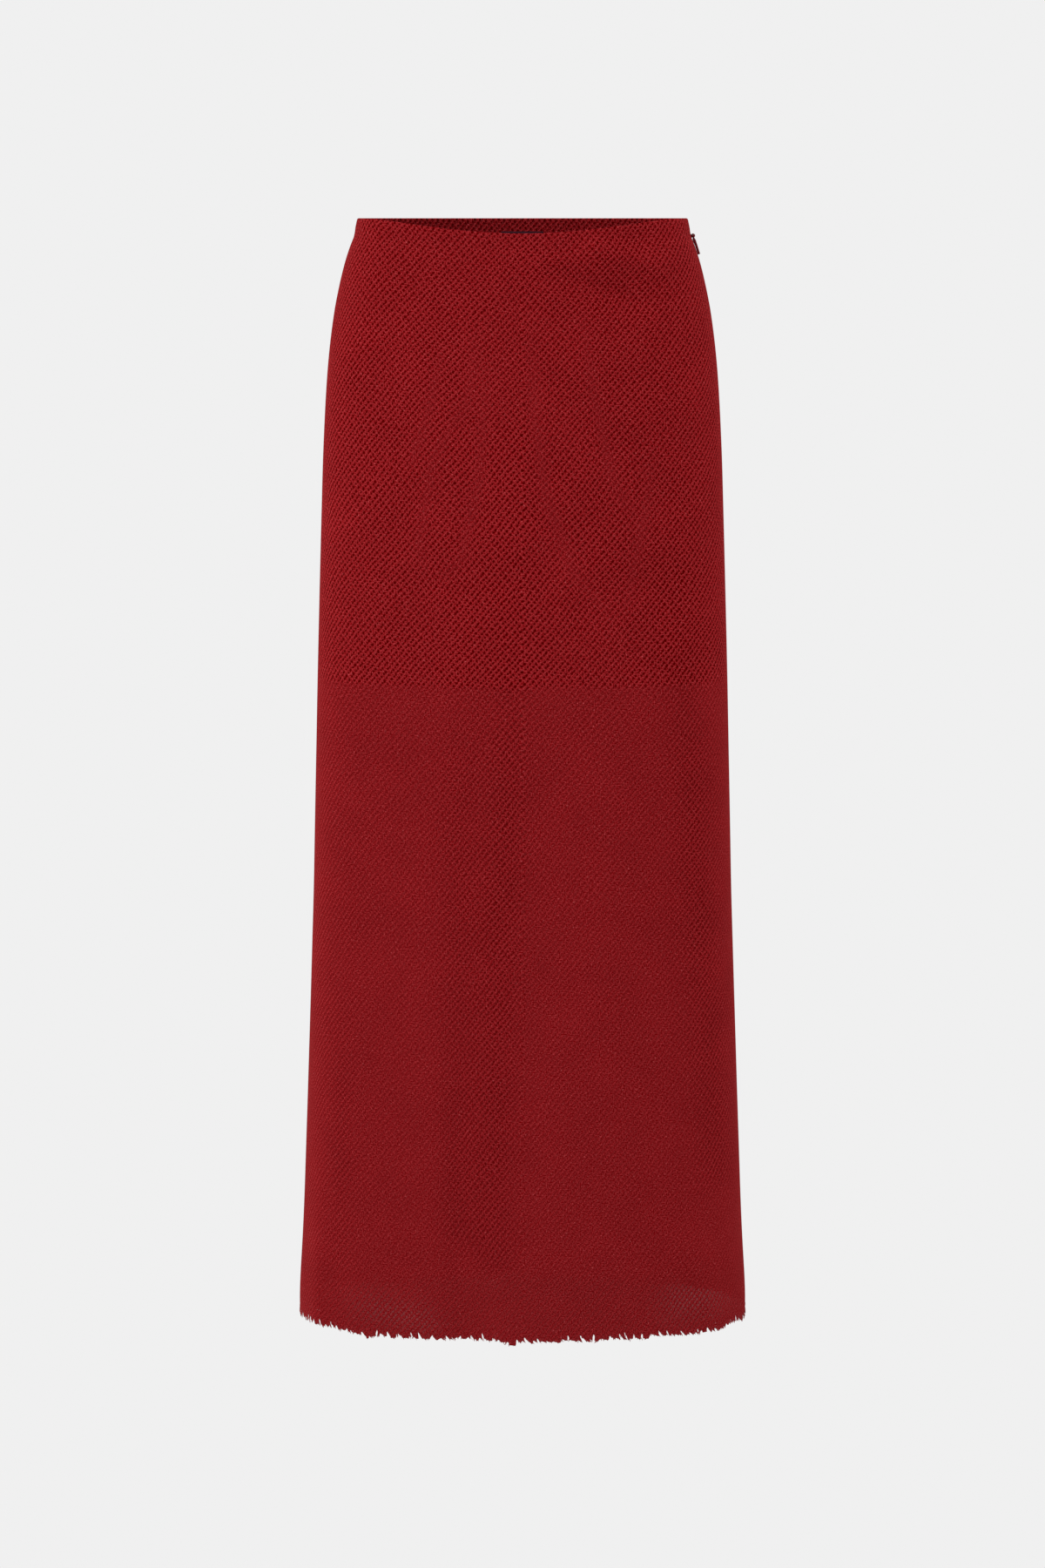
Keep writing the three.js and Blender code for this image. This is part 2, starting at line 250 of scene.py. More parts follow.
class SkirtSettings(bpy.types.PropertyGroup):
    """All of the skirt's settings."""

    crepe: bpy.props.PointerProperty(type=CrepeSettings)
    hem: bpy.props.PointerProperty(type=HemSettings)
    lining: bpy.props.PointerProperty(type=LiningSettings)
    trim: bpy.props.PointerProperty(type=TrimSettings)
    studio: bpy.props.PointerProperty(type=StudioSettings)


# ---------- nodes ----------


def put(tree, kind, sockets=None, **options):
    """Adds a shader node, sets its options, and gives each named input a value or another's output."""
    made = tree.nodes.new("ShaderNode" + kind)
    for key, value in options.items():
        setattr(made, key, value)
    for key, value in (sockets or {}).items():
        if isinstance(value, bpy.types.NodeSocket):
            tree.links.new(value, made.inputs[key])
        else:
            made.inputs[key].default_value = value
    return made


def calc(tree, operation, *values, clamp=False):
    """A math node over numbers and outputs."""
    made = put(tree, "Math", dict(enumerate(values)), operation=operation, use_clamp=clamp)
    return made.outputs[0]


def vector_calc(tree, operation, *values):
    """A vector math node over vectors and outputs."""
    return put(tree, "VectorMath", dict(enumerate(values)), operation=operation)


def ramp_between(tree, value, low, high):
    """0 below low, 1 above high, and soft between."""
    made = put(
        tree, "MapRange", {"Value": value, "From Min": low, "From Max": high},
        interpolation_type="SMOOTHSTEP",
    )
    return made.outputs["Result"]


def blend_colours(tree, share, first, second):
    """A mix of two colours, which may be outputs."""
    made = put(tree, "Mix", data_type="RGBA")
    for socket, value in ((made.inputs[0], share), (made.inputs[6], first), (made.inputs[7], second)):
        if isinstance(value, bpy.types.NodeSocket):
            tree.links.new(value, socket)
        elif hasattr(value, "__len__"):
            socket.default_value = (*value[:3], 1)
        else:
            socket.default_value = value
    return made.outputs[2]


def grain(tree, vector, size, detail=2.0):
    """Noise whose features are about the given size, in metres."""
    made = put(tree, "TexNoise", {"Vector": vector, "Scale": 1 / size, "Detail": detail})
    return made.outputs["Fac"]


def new_material(name):
    """A material with an empty node tree, and that tree."""
    material = bpy.data.materials.new(name)
    material.use_nodes = True
    tree = material.node_tree
    tree.nodes.clear()
    return material, tree


def give_surface(material, sockets, kind="BsdfPrincipled"):
    """Ends a material in one shader, and returns the material."""
    tree = material.node_tree
    shader = put(tree, kind, sockets)
    output = put(tree, "OutputMaterial")
    tree.links.new(shader.outputs[0], output.inputs["Surface"])
    return material


def mark(tree, name):
    """A number that the mesh holds at each of its points."""
    return put(tree, "Attribute", attribute_name=name).outputs["Fac"]


def bump(tree, height, strength, distance):
    """The surface's direction where a height makes it uneven."""
    sockets = {"Strength": strength, "Distance": distance, "Height": height}
    return put(tree, "Bump", sockets).outputs["Normal"]


def brightened(tree, colour, value):
    """A colour with its brightness multiplied."""
    return put(tree, "HueSaturation", {"Color": colour, "Value": value}).outputs["Color"]


def scaled_colour(colour, gain, lift=0.0):
    """A colour made lighter or darker, and kept at or below 1."""
    return tuple(min(1.0, value * gain + lift) for value in colour)


def own_place(tree):
    """Where a point lies in its own piece, in metres."""
    return put(tree, "TexCoord").outputs["Object"]


def cloth_place(tree):
    """Where a point lies on the flat cloth, in metres across and down."""
    return put(tree, "UVMap", uv_map="cloth").outputs["UV"]


def leaning(lean):
    """The direction on the flat cloth that leans up from level by an angle."""
    return Vector((math.cos(lean), math.sin(lean), 0))


def weave_steps(settings):
    """One repeat of the weave along the warp and along the weft, on the flat cloth."""
    warp = leaning(settings.warp_lean) * settings.warp_repeat
    return warp, leaning(settings.weft_lean) * settings.weft_repeat


def swayed(tree, place, size, push):
    """The place on the cloth, pushed about a little so that no row of the weave is quite straight."""
    noisy = put(tree, "TexNoise", {"Vector": place, "Scale": 1 / size, "Detail": 1.0})
    centred = vector_calc(tree, "SUBTRACT", noisy.outputs["Color"], (0.5, 0.5, 0.5)).outputs[0]
    scaled = put(tree, "VectorMath", {0: centred, "Scale": push}, operation="SCALE")
    return vector_calc(tree, "ADD", place, scaled.outputs[0]).outputs[0]


def repeat_counts(tree, place, settings):
    """How many repeats along the warp and along the weft a place lies from the middle of the cloth."""
    warp, weft = weave_steps(settings)
    area = warp.x * weft.y - warp.y * weft.x
    loose = swayed(tree, swayed(tree, place, 70 * MM, 8 * MM), 6 * MM, 1.1 * MM)
    along_warp = vector_calc(tree, "DOT_PRODUCT", loose, (weft.y / area, -weft.x / area, 0))
    along_weft = vector_calc(tree, "DOT_PRODUCT", loose, (-warp.y / area, warp.x / area, 0))
    return along_warp.outputs["Value"], along_weft.outputs["Value"]


def from_nearest(tree, count, start):
    """How far a count lies from the nearest whole repeat after a start, from -0.5 to 0.5."""
    shifted = calc(tree, "SUBTRACT", count, start - 0.5)
    return calc(tree, "SUBTRACT", calc(tree, "FRACT", shifted), 0.5)


def hole_distance(tree, counts, settings, hole):
    """The distance from the nearest hole of one kind, where 1 is its edge."""
    warp, weft = weave_steps(settings)
    off_warp = from_nearest(tree, counts[0], 0)
    off_weft = from_nearest(tree, counts[1], hole["start"])
    long_way = leaning(hole["lean"])
    short_way = Vector((-long_way.y, long_way.x, 0))
    squares = []
    for way, radius in ((long_way, hole["length"] / 2), (short_way, hole["width"] / 2)):
        part = calc(tree, "MULTIPLY", off_warp, warp.dot(way) / radius)
        part = calc(tree, "MULTIPLY_ADD", off_weft, weft.dot(way) / radius, part)
        squares.append(calc(tree, "MULTIPLY", part, part))
    return calc(tree, "SQRT", calc(tree, "ADD", *squares))


# Each row of the weave has a large slanting hole and then a small round one. start is in repeats.
HOLES = (
    {"start": 0, "length": 3.0 * MM, "width": 2.25 * MM, "lean": math.radians(68)},
    {"start": 0.545, "length": 2.4 * MM, "width": 2.0 * MM, "lean": math.radians(50)},
)


def weave(tree, place, settings):
    """The holes of the weave, from 0 on the yarn to 1 in their middles, and the yarns' height."""
    counts = repeat_counts(tree, place, settings)
    near = [hole_distance(tree, counts, settings, hole) for hole in HOLES]
    distance = calc(tree, "MINIMUM", *near)
    uneven = calc(tree, "SUBTRACT", grain(tree, place, 2.6 * MM), 0.5)
    distance = calc(tree, "MULTIPLY_ADD", uneven, 1.6, distance)
    holes = calc(tree, "SUBTRACT", 1.0, ramp_between(tree, distance, 0.45, 1.15))
    rows = calc(tree, "COSINE", calc(tree, "MULTIPLY", counts[0], 2 * math.pi))
    slope = calc(tree, "SUBTRACT", 1.0, ramp_between(tree, distance, 0.5, 2.2))
    height = calc(tree, "MULTIPLY_ADD", rows, -0.18, calc(tree, "MULTIPLY", slope, -1.0))
    return holes, slope, height


def crepe_material(name, settings, tone=1.0):
    """Openwork crepe: matt yarns with a soft sheen, small holes painted dark as painted shade, and bright and
    dark fibres.
    """
    material, tree = new_material(name)
    place = cloth_place(tree)
    holes, slope, height = weave(tree, place, settings)
    shade_behind = mark(tree, "shade_behind")
    stretch = mark(tree, "stretch")
    closed_up = calc(tree, "SUBTRACT", 1.0, calc(tree, "MULTIPLY", stretch, -1.0, clamp=True))
    holes = calc(tree, "MULTIPLY", holes, closed_up)
    fibres = grain(tree, place, 1.0 * MM, 2.0)
    cloudy = grain(tree, place, 38 * MM, 3.0)
    yarn = blend_colours(tree, ramp_between(tree, fibres, 0.39, 0.61), settings.yarn_dark, settings.yarn)
    fleck = ramp_between(tree, grain(tree, place, 1.5 * MM, 1.0), 0.68, 0.76)
    bright = scaled_colour(settings.yarn, 1.5, 0.08)
    yarn = blend_colours(tree, calc(tree, "MULTIPLY", fleck, 0.6), yarn, bright)
    # Painted shade on the yarns' slopes round the holes.
    yarn = blend_colours(tree, calc(tree, "MULTIPLY", slope, 0.2), yarn, settings.hole)
    # Painted shade in the holes: a little random patchiness, more where the weave is pulled open away from
    # the bare band at the hem, and more where the lining or the far wall stands behind.
    patchy = calc(tree, "MULTIPLY_ADD", grain(tree, place, 55 * MM, 2.0), 0.3, -0.15)
    opened = calc(tree, "MAXIMUM", stretch, 0.0)
    bare = mark(tree, "bare")
    shaded = calc(tree, "MULTIPLY", opened, calc(tree, "SUBTRACT", 1.0, bare))
    hole_shade = calc(tree, "MULTIPLY_ADD", shaded, 0.66, calc(tree, "MULTIPLY_ADD", shade_behind, 0.86, 0.1))
    depth = calc(tree, "MULTIPLY", holes, calc(tree, "ADD", patchy, hole_shade), clamp=True)
    # The holes are painted in the hole colour by that amount of painted shade.
    colour = blend_colours(tree, depth, yarn, settings.hole)
    value = calc(tree, "MULTIPLY_ADD", cloudy, 0.24 * tone, 0.88 * tone)
    # Painted shade over the whole colour: darker in and below the waist band, lighter where the lining stands
    # behind, and a little darker where the holes show the floor.
    waist_shade = mark(tree, "waist_shade")
    for part, gain, base in ((waist_shade, -0.056, 0.856), (shade_behind, 0.16, 1.0), (bare, -0.035, 1.0)):
        value = calc(tree, "MULTIPLY", value, calc(tree, "MULTIPLY_ADD", part, gain, base))
    relief = calc(tree, "MULTIPLY_ADD", fibres, 0.3, height)
    pulled = calc(tree, "MULTIPLY", calc(tree, "MULTIPLY", opened, bare), settings.pulled_open)
    passing = calc(tree, "MULTIPLY", holes, calc(tree, "ADD", pulled, settings.openness))
    return give_surface(material, {
        "Base Color": brightened(tree, colour, value), "Roughness": 0.9, "Specular IOR Level": 0.0,
        "Normal": bump(tree, relief, 0.7, settings.relief), "Alpha": calc(tree, "SUBTRACT", 1.0, passing),
        "Sheen Weight": 0.05, "Sheen Roughness": 0.3, "Sheen Tint": SHEEN_TINT,
    })


def yarn_end_material(settings):
    """The crepe's loose yarn, twisted, with painted shade that darkens its roots."""
    material, tree = new_material("crepe_yarn_ends")
    place = cloth_place(tree)
    twist = put(
        tree, "TexWave", {"Vector": place, "Scale": 0.35 / MM, "Distortion": 2.0},
        wave_type="BANDS", bands_direction="DIAGONAL",
    ).outputs["Fac"]
    yarn = blend_colours(tree, grain(tree, place, 0.5 * MM, 2.0), settings.yarn_dark, settings.yarn)
    return give_surface(material, {
        "Base Color": blend_colours(tree, mark(tree, "shade"), settings.hole, yarn), "Roughness": 0.8,
        "Specular IOR Level": 0.2, "Normal": bump(tree, twist, 0.6, 0.15 * MM),
        "Sheen Weight": 0.06, "Sheen Roughness": 0.5, "Sheen Tint": SHEEN_TINT,
    })


def woven_material(name, colour, thread, relief, roughness, sheen):
    """A plain closely woven cloth: fine threads both ways, with a little cloudiness."""
    material, tree = new_material(name)
    place = cloth_place(tree)
    per_metre = 2 * math.pi / thread
    across = vector_calc(tree, "DOT_PRODUCT", place, (per_metre, 0, 0)).outputs["Value"]
    down = vector_calc(tree, "DOT_PRODUCT", place, (0, per_metre, 0)).outputs["Value"]
    threads = calc(tree, "MULTIPLY", calc(tree, "SINE", across), calc(tree, "SINE", down))
    woven = blend_colours(tree, ramp_between(tree, threads, -0.8, 0.8), scaled_colour(colour, 0.72), colour)
    tone = calc(tree, "MULTIPLY_ADD", grain(tree, place, 30 * MM, 3.0), 0.24, 0.88)
    return give_surface(material, {
        "Base Color": brightened(tree, woven, tone), "Roughness": roughness, "Specular IOR Level": 0.12,
        "Normal": bump(tree, threads, 0.5, relief),
        "Sheen Weight": sheen, "Sheen Roughness": 0.4, "Sheen Tint": LINING_SHEEN_TINT,
    })


def enamel_material(colour):
    """Enamel on the zip's metal, with a painted highlight that makes its edges a little brighter."""
    material, tree = new_material("zip_enamel")
    mottled = grain(tree, own_place(tree), 0.8 * MM, 3.0)
    pointed = put(tree, "NewGeometry").outputs["Pointiness"]
    edge_highlight = calc(tree, "MULTIPLY", ramp_between(tree, pointed, 0.54, 0.62), 0.5)
    return give_surface(material, {
        "Base Color": blend_colours(tree, edge_highlight, colour, scaled_colour(colour, 1.8, 0.02)),
        "Roughness": calc(tree, "MULTIPLY_ADD", mottled, 0.2, 0.42), "Specular IOR Level": 0.12,
        "Normal": bump(tree, mottled, 0.15, 0.05 * MM),
    })


def plain_material(name, colour, roughness):
    """A plain moulded surface with the faintest mottle."""
    material, tree = new_material(name)
    mottled = grain(tree, own_place(tree), 3 * MM, 2.0)
    shade = blend_colours(tree, mottled, scaled_colour(colour, 0.85), colour)
    return give_surface(
        material, {"Base Color": shade, "Roughness": roughness, "Specular IOR Level": 0.35},
    )


# ---------- the cloth's form ----------

# Creases in mm: x and depth below the rim at both ends, half width and height, below 0 for a hollow. An
# open one runs out through the hem at full height, and the others die away at both ends.
CREASES = {
    "front": (
        (40, 8, 124, 44, 11, 5.5, False),
        (14, 30, 118, 78, 11, -7.0, False),
        (-52, 540, -47, 930, 18, -7.8, True),
        (-170, 740, -173, 930, 9, 3.6, True),
        (120, 760, 158, 930, 15, 3.4, True),
        (-92, 60, -128, 190, 15, -0.8, False),
        (40, 420, 28, 760, 26, -1.1, False),
        (96, 360, 118, 700, 20, -0.9, False),
        (-128, 330, -112, 690, 22, -0.9, False),
        (60, 620, 88, 925, 18, -1.6, True),
        (-130, 640, -128, 930, 24, 3.6, True),
    ),
    "back": (
        (-44, 34, -112, 76, 11, -2.8, False),
        (44, 26, 100, 54, 10, -1.4, False),
        (52, 520, 60, 930, 24, -3.8, True),
        (-76, 640, -70, 930, 20, -3.0, True),
        (160, 700, 166, 930, 12, 3.4, True),
        (-20, 380, -8, 700, 26, -1.2, False),
        (120, 300, 104, 640, 22, -0.9, False),
        (-130, 420, -122, 800, 20, -1.1, False),
        (-150, 760, -156, 930, 12, 2.4, True),
    ),
}

# Where the bias pulls the cloth open, above 0, or closes it up, below 0, along lines as the creases are.
# Where it is pulled open, its holes get more painted shade, but near the hem more of the floor shows through
# them instead.
STRETCHES = {
    "front": (
        (-170, 720, -173, 935, 9, -0.9),
        (-150, 640, -156, 870, 12, 0.45),
        (-150, 908, -84, 920, 14, 0.8),
        (112, 912, 166, 902, 18, 1.0),
        (-50, 330, -52, 840, 17, 0.5),
        (-4, 200, -26, 860, 19, 0.75),
        (128, 250, 165, 800, 18, 0.75),
    ),
    "back": (
        (160, 690, 166, 935, 11, -0.7),
        (-150, 720, -156, 880, 12, 0.4),
        (100, 905, 150, 915, 16, 1.0),
        (54, 500, 60, 930, 20, 0.7),
        (-76, 620, -70, 960, 18, 0.5),
        (2, 420, 14, 840, 15, 0.35),
    ),
}


def off_line(x, down, line):
    """How far along a line in mm each point lies, from 0 to 1, and its distance from the line."""
    x0, down0, x1, down1 = (value * MM for value in line)
    along = np.array((x1 - x0, down1 - down0))
    share = ((x - x0) * along[0] + (down - down0) * along[1]) / (along @ along)
    held = np.clip(share, 0, 1)
    return share, np.hypot(x - x0 - held * along[0], down - down0 - held * along[1])


def bulge(off, width):
    """1 on a line and less and less beside it, with the half width in mm."""
    return np.exp(-((off / (width * MM)) ** 2))


def off_the_seams(y):
    """0 at the side seams, where the cloth lies flat, and 1 away from them."""
    return smooth_step(np.abs(y), 0, 24 * MM)


def crease_height(side, x, y, down):
    """The height of all creases at points of a panel."""
    total = np.zeros_like(x)
    for *line, width, height, is_open in CREASES[side]:
        share, off = off_line(x, down, line)
        strength = smooth_step(share, 0, 1) if is_open else np.sin(math.pi * np.clip(share, 0, 1))
        total += height * MM * strength * bulge(off, width)
    return total * off_the_seams(y) * smooth_step(down, 3 * MM, 15 * MM)


# Creases of the lining in mm, each a run of points across and below the rim, then half width and height.
# The crepe lies against them, and the painted shade in its holes is lighter there.
LINING_CREASES = {
    "front": (
        (((-37, 74), (-44, 148), (-74, 196), (-86, 268), (-78, 300)), 4.0, 1.8),
        (((-30, 112), (-35, 208), (-50, 280), (-70, 300)), 4.0, 1.6),
        (((9, 70), (9, 159), (20, 230), (42, 291), (82, 337)), 4.5, 2.2),
        (((49, 65), (57, 136), (76, 219), (97, 250)), 4.0, 1.6),
        (((-65, 100), (-81, 172), (-95, 208)), 4.0, 1.2),
        (((110, 190), (98, 262), (84, 330)), 4.0, 1.2),
    ),
    "back": (
        (((-40, 70), (-46, 150), (-64, 260), (-98, 322)), 4.0, 2.0),
        (((18, 90), (12, 190), (30, 300)), 4.0, 1.4),
        (((58, 60), (68, 150), (82, 230), (70, 350)), 4.0, 1.8),
    ),
}


def lining_ridges(side, x, down):
    """The height of the lining's creases, and how firmly the crepe lies against them, from 0 to 1, which
    lightens the painted shade in the crepe's holes.
    """
    height = np.zeros_like(x)
    touch = np.zeros_like(x)
    for points, width, rise in LINING_CREASES[side]:
        nearest = np.full(x.shape, np.inf)
        strength = np.zeros_like(x)
        parts = len(points) - 1
        for part in range(parts):
            share, off = off_line(x, down, points[part] + points[part + 1])
            along = (part + np.clip(share, 0, 1)) / parts
            closer = off < nearest
            nearest = np.where(closer, off, nearest)
            strength = np.where(closer, np.sin(math.pi * along) ** 0.6, strength)
        ridge = strength * bulge(nearest, width)
        height += rise * MM * ridge
        touch = np.maximum(touch, ridge)
    return height, touch


def stretch_at(side, x, down):
    """How far the weave is pulled open, above 0, or closed up, below 0."""
    total = np.zeros_like(x)
    for *line, width, amount in STRETCHES[side]:
        share, off = off_line(x, down, line)
        total += amount * bulge(off, width) * smooth_step(share, -0.2, 0.5)
    return np.clip(total, -1, 1)


WAVE_HEIGHT = 0.45 * MM


def soft_waves(side, x, down):
    """Slight unevenness of cloth that clings here and hangs there."""
    seed = SEEDS[side]["waves"]

    def height(across, below):
        wide = noise.noise(Vector((across / 0.055, below / 0.16, seed)))
        return wide + 0.4 * noise.noise(Vector((across / 0.02, below / 0.05, seed)))

    heights = np.array([height(*point) for point in zip(x.ravel(), down.ravel())])
    return WAVE_HEIGHT * heights.reshape(x.shape) * smooth_step(down, BAND, BAND + BAND_FADE)


def cloth_points(form, side, turn, down, waves=True):
    """Points of a panel's face and the directions out of it. turn is 0 at the right and 1 at the left."""
    turn, down = np.broadcast_arrays(np.asarray(turn, float), np.asarray(down, float))
    sign = SIDES[side]
    half = form.half_at(down)
    depth = form.depth_at(side, down)
    angle = math.pi * (1 - turn)
    cos = np.cos(angle)
    sin = np.abs(np.sin(angle))
    x = half * np.sign(cos) * np.abs(cos) ** (2 / ROUNDNESS)
    y = sign * depth * sin ** (2 / ROUNDNESS)
    out = np.stack(
        (
            np.sign(x) * np.abs(x / half) ** (ROUNDNESS - 1) / half,
            sign * np.abs(y / depth) ** (ROUNDNESS - 1) / depth,
            0 * x,
        ),
        axis=-1,
    )
    out /= np.linalg.norm(out, axis=-1, keepdims=True)
    lean = HEM_LEAN * (x / form.half_width[-1]) * (down / HEM) ** 3
    place = np.stack((x, y, -down - dip_at(side, x, down) - lean), axis=-1)
    height = crease_height(side, x, y, down)
    if waves:
        height = height + soft_waves(side, x, down) * off_the_seams(y)
    return place + out * height[..., None], out


def length_along(points):
    """How far along a line of points each one lies."""
    return np.concatenate(([0], np.cumsum(np.linalg.norm(np.diff(points, axis=0), axis=1))))


def even_turns(form, side, spacing, edge=0.0):
    """Turns from seam to seam that lie about evenly apart along the cloth, with one at the centre."""
    dense = np.linspace(0, 1, 2001)
    place, _ = cloth_points(form, side, dense, 0.5 * (form.levels[0] + form.levels[-1]), waves=False)
    run = length_along(place)
    count = 2 * round(run[-1] / spacing / 2)
    return np.interp(np.linspace(edge, run[-1] - edge, count + 1), run, dense)


# The bias stretches round the hips, so that the weave there lies as it would on a squarer section.
WEAVE_ROUNDNESS = 3.2
WEAVE_DEPTH = 0.92
DRAWN_IN = 0.08  # how much narrower the weave hangs below the hips, under the cloth's own weight


def cloth_run(form, side, turns, downs):
    """How far each point of some rows lies from the middle of the flat cloth."""
    turns = np.broadcast_to(turns, (len(downs), np.shape(turns)[-1]))
    angles = np.linspace(0, math.pi / 2, 600)
    runs = np.empty(turns.shape)
    for row, down in enumerate(downs):
        x = form.half_at(down) * np.cos(angles) ** (2 / WEAVE_ROUNDNESS)
        y = form.depth_at(side, down) * WEAVE_DEPTH * np.sin(angles) ** (2 / WEAVE_ROUNDNESS)
        from_seam = np.concatenate(([0], np.cumsum(np.hypot(np.diff(x), np.diff(y)))))
        cos = np.cos(math.pi * (1 - turns[row]))
        weave_angle = np.arccos(np.clip(np.abs(cos) ** (WEAVE_ROUNDNESS / ROUNDNESS), 0, 1))
        from_middle = from_seam[-1] - np.interp(weave_angle, angles, from_seam)
        drawn = 1 + DRAWN_IN * smooth_step(down, 380 * MM, 620 * MM)
        runs[row] = np.sign(cos) * from_middle * drawn
    return runs


def smooth_faces(mesh):
    """Shades all of a mesh's faces smoothly."""
    mesh.polygons.foreach_set("use_smooth", [True] * len(mesh.polygons))


@contextmanager
def editing(piece):
    """Opens a piece's mesh for changes, and writes them back."""
    bm = bmesh.new()
    bm.from_mesh(piece.data)
    yield bm
    bm.to_mesh(piece.data)
    bm.free()


def new_object(name, data):
    """An object in the scene for a mesh, a lamp or a camera."""
    made = bpy.data.objects.new(name, data)
    bpy.context.collection.objects.link(made)
    return made


def new_piece(name, mesh, material):
    """An object of its own for a mesh, in one material."""
    mesh.materials.clear()
    mesh.materials.append(material)
    return new_object(name, mesh)


def cloth_piece(name, points, faces, flat, marks, material):
    """A piece with its points' places on the flat cloth and the numbers marked at them."""
    mesh = bpy.data.meshes.new(name)
    mesh.from_pydata(points, [], faces)
    corners = np.empty(len(mesh.loops), int)
    mesh.loops.foreach_get("vertex_index", corners)
    layer = mesh.uv_layers.new(name="cloth")
    layer.data.foreach_set("uv", np.asarray(flat)[corners].astype(np.float32).ravel())
    for name_of_mark, values in marks.items():
        attribute = mesh.attributes.new(name_of_mark, "FLOAT", "POINT")
        attribute.data.foreach_set("value", np.asarray(values).astype(np.float32))
    smooth_faces(mesh)
    return new_piece(name, mesh, material)


def join_frame(piece, node, body=BODY):
    """Hangs a piece on its body, and hides the frame's node that it stands for."""
    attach(piece, body)
    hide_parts(node)


class ClothMesh:
    """Patches of cloth, each a grid of quads, gathered into one mesh with their places on the flat cloth."""

    def __init__(self, side):
        self.flip = SIDES[side] > 0
        self.points = []
        self.quads = []
        self.flat = []
        self.marks = {"shade_behind": [], "stretch": [], "waist_shade": [], "bare": []}
        self.count = 0

    def add(self, points, flat, keep=None, **marks):
        """A patch over rows and columns of points. keep says which of its quads are there."""
        rows, columns = points.shape[:2]
        index = self.count + np.arange(rows * columns).reshape(rows, columns)
        quads = np.stack((index[:-1, :-1], index[1:, :-1], index[1:, 1:], index[:-1, 1:]), axis=-1)
        quads = quads.reshape(-1, 4) if keep is None else quads[keep]
        self.quads.append(quads[:, ::-1] if self.flip else quads)
        self.points.append(points.reshape(-1, 3))
        self.flat.append(flat.reshape(-1, 2))
        for name, values in self.marks.items():
            values.append(np.broadcast_to(marks.get(name, 0.0), (rows, columns)).ravel())
        self.count += rows * columns

    def make(self, name, material):
        """The piece that holds them all."""
        marks = {name: np.concatenate(values) for name, values in self.marks.items()}
        points, quads, flat = (np.concatenate(part) for part in (self.points, self.quads, self.flat))
        made = cloth_piece(name, points.tolist(), quads.tolist(), flat, marks, material)
        with editing(made) as bm:
            bmesh.ops.delete(bm, geom=[v for v in bm.verts if not v.link_faces], context="VERTS")
        return made


def flat_grid(form, side, turns, downs, falls):
    """The places on the flat cloth of rows of points: across from runs, and down from falls."""
    runs = cloth_run(form, side, turns, downs)
    return np.stack((runs, np.broadcast_to(-np.asarray(falls)[:, None], runs.shape)), axis=-1)


def cloth_grid(form, side, turns, downs):
    """Rows and columns of a panel: points, directions out, depths, and places on the flat cloth."""
    place, out = cloth_points(form, side, turns[None, :], downs[:, None])
    down = np.broadcast_to(downs[:, None], place.shape[:2])
    return place, out, down, flat_grid(form, side, turns, downs, downs)


PANEL_SPACING = 2.6 * MM  # how far apart the columns of a panel's points lie
INNER_SPACING = 4 * MM  # the same for the facing and the lining

# ---------- the outer cloth ----------

# In mm, how far in and down each row of the rolled rim lies, and how far in and from the seam each column of
# a turned-in edge does.
RIM_ROLL = ((2.3, 1.6), (2.1, 0.6), (1.7, 0.15), (1.15, 0.0), (0.6, 0.15), (0.15, 0.6), (0.0, 1.4))
SEAM_ROLL = ((2.6, 0.0), (1.3, 0.02), (0.45, 0.06), (0.1, 0.35))
SEAM_EDGE = 1.2 * MM  # from the seam to the first column of a panel's face
FLOOR_SHOWS = 54 * MM  # how far above the hem the holes begin to show the floor
TUFT_TOP = 9 * MM  # how far above the hem the panels end and the tufts of their raw edge begin


def seam_opening(down):
    """How far each panel's edge stands off at the zip, where the seam parts round the slider's neck."""
    return 0.75 * MM * np.exp(-(((down - SLIDER_DOWN - 0.6 * MM) / (2.6 * MM)) ** 2))


# How much painted shade the lining gives the holes, and the far wall below it, and how much less they get
# where the crepe lies against a crease of the lining.
LINING_SHADE = 0.73
FAR_WALL_SHADE = 0.27
TOUCH_SHADE_LOSS = 0.6


def painted_shade_behind(side, x, down):
    """How much painted shade the holes get from what lies behind them: the lining, or the far wall below it.
    """
    over_lining = 1 - smooth_step(down, LINING_HEM - 1 * MM, LINING_HEM + 1 * MM)
    over_far_wall = 1 - smooth_step(down, LINING_HEM, HEM)
    _, touch = lining_ridges(side, x, down)
    return (LINING_SHADE * over_lining + FAR_WALL_SHADE * over_far_wall) * (1 - TOUCH_SHADE_LOSS * touch)


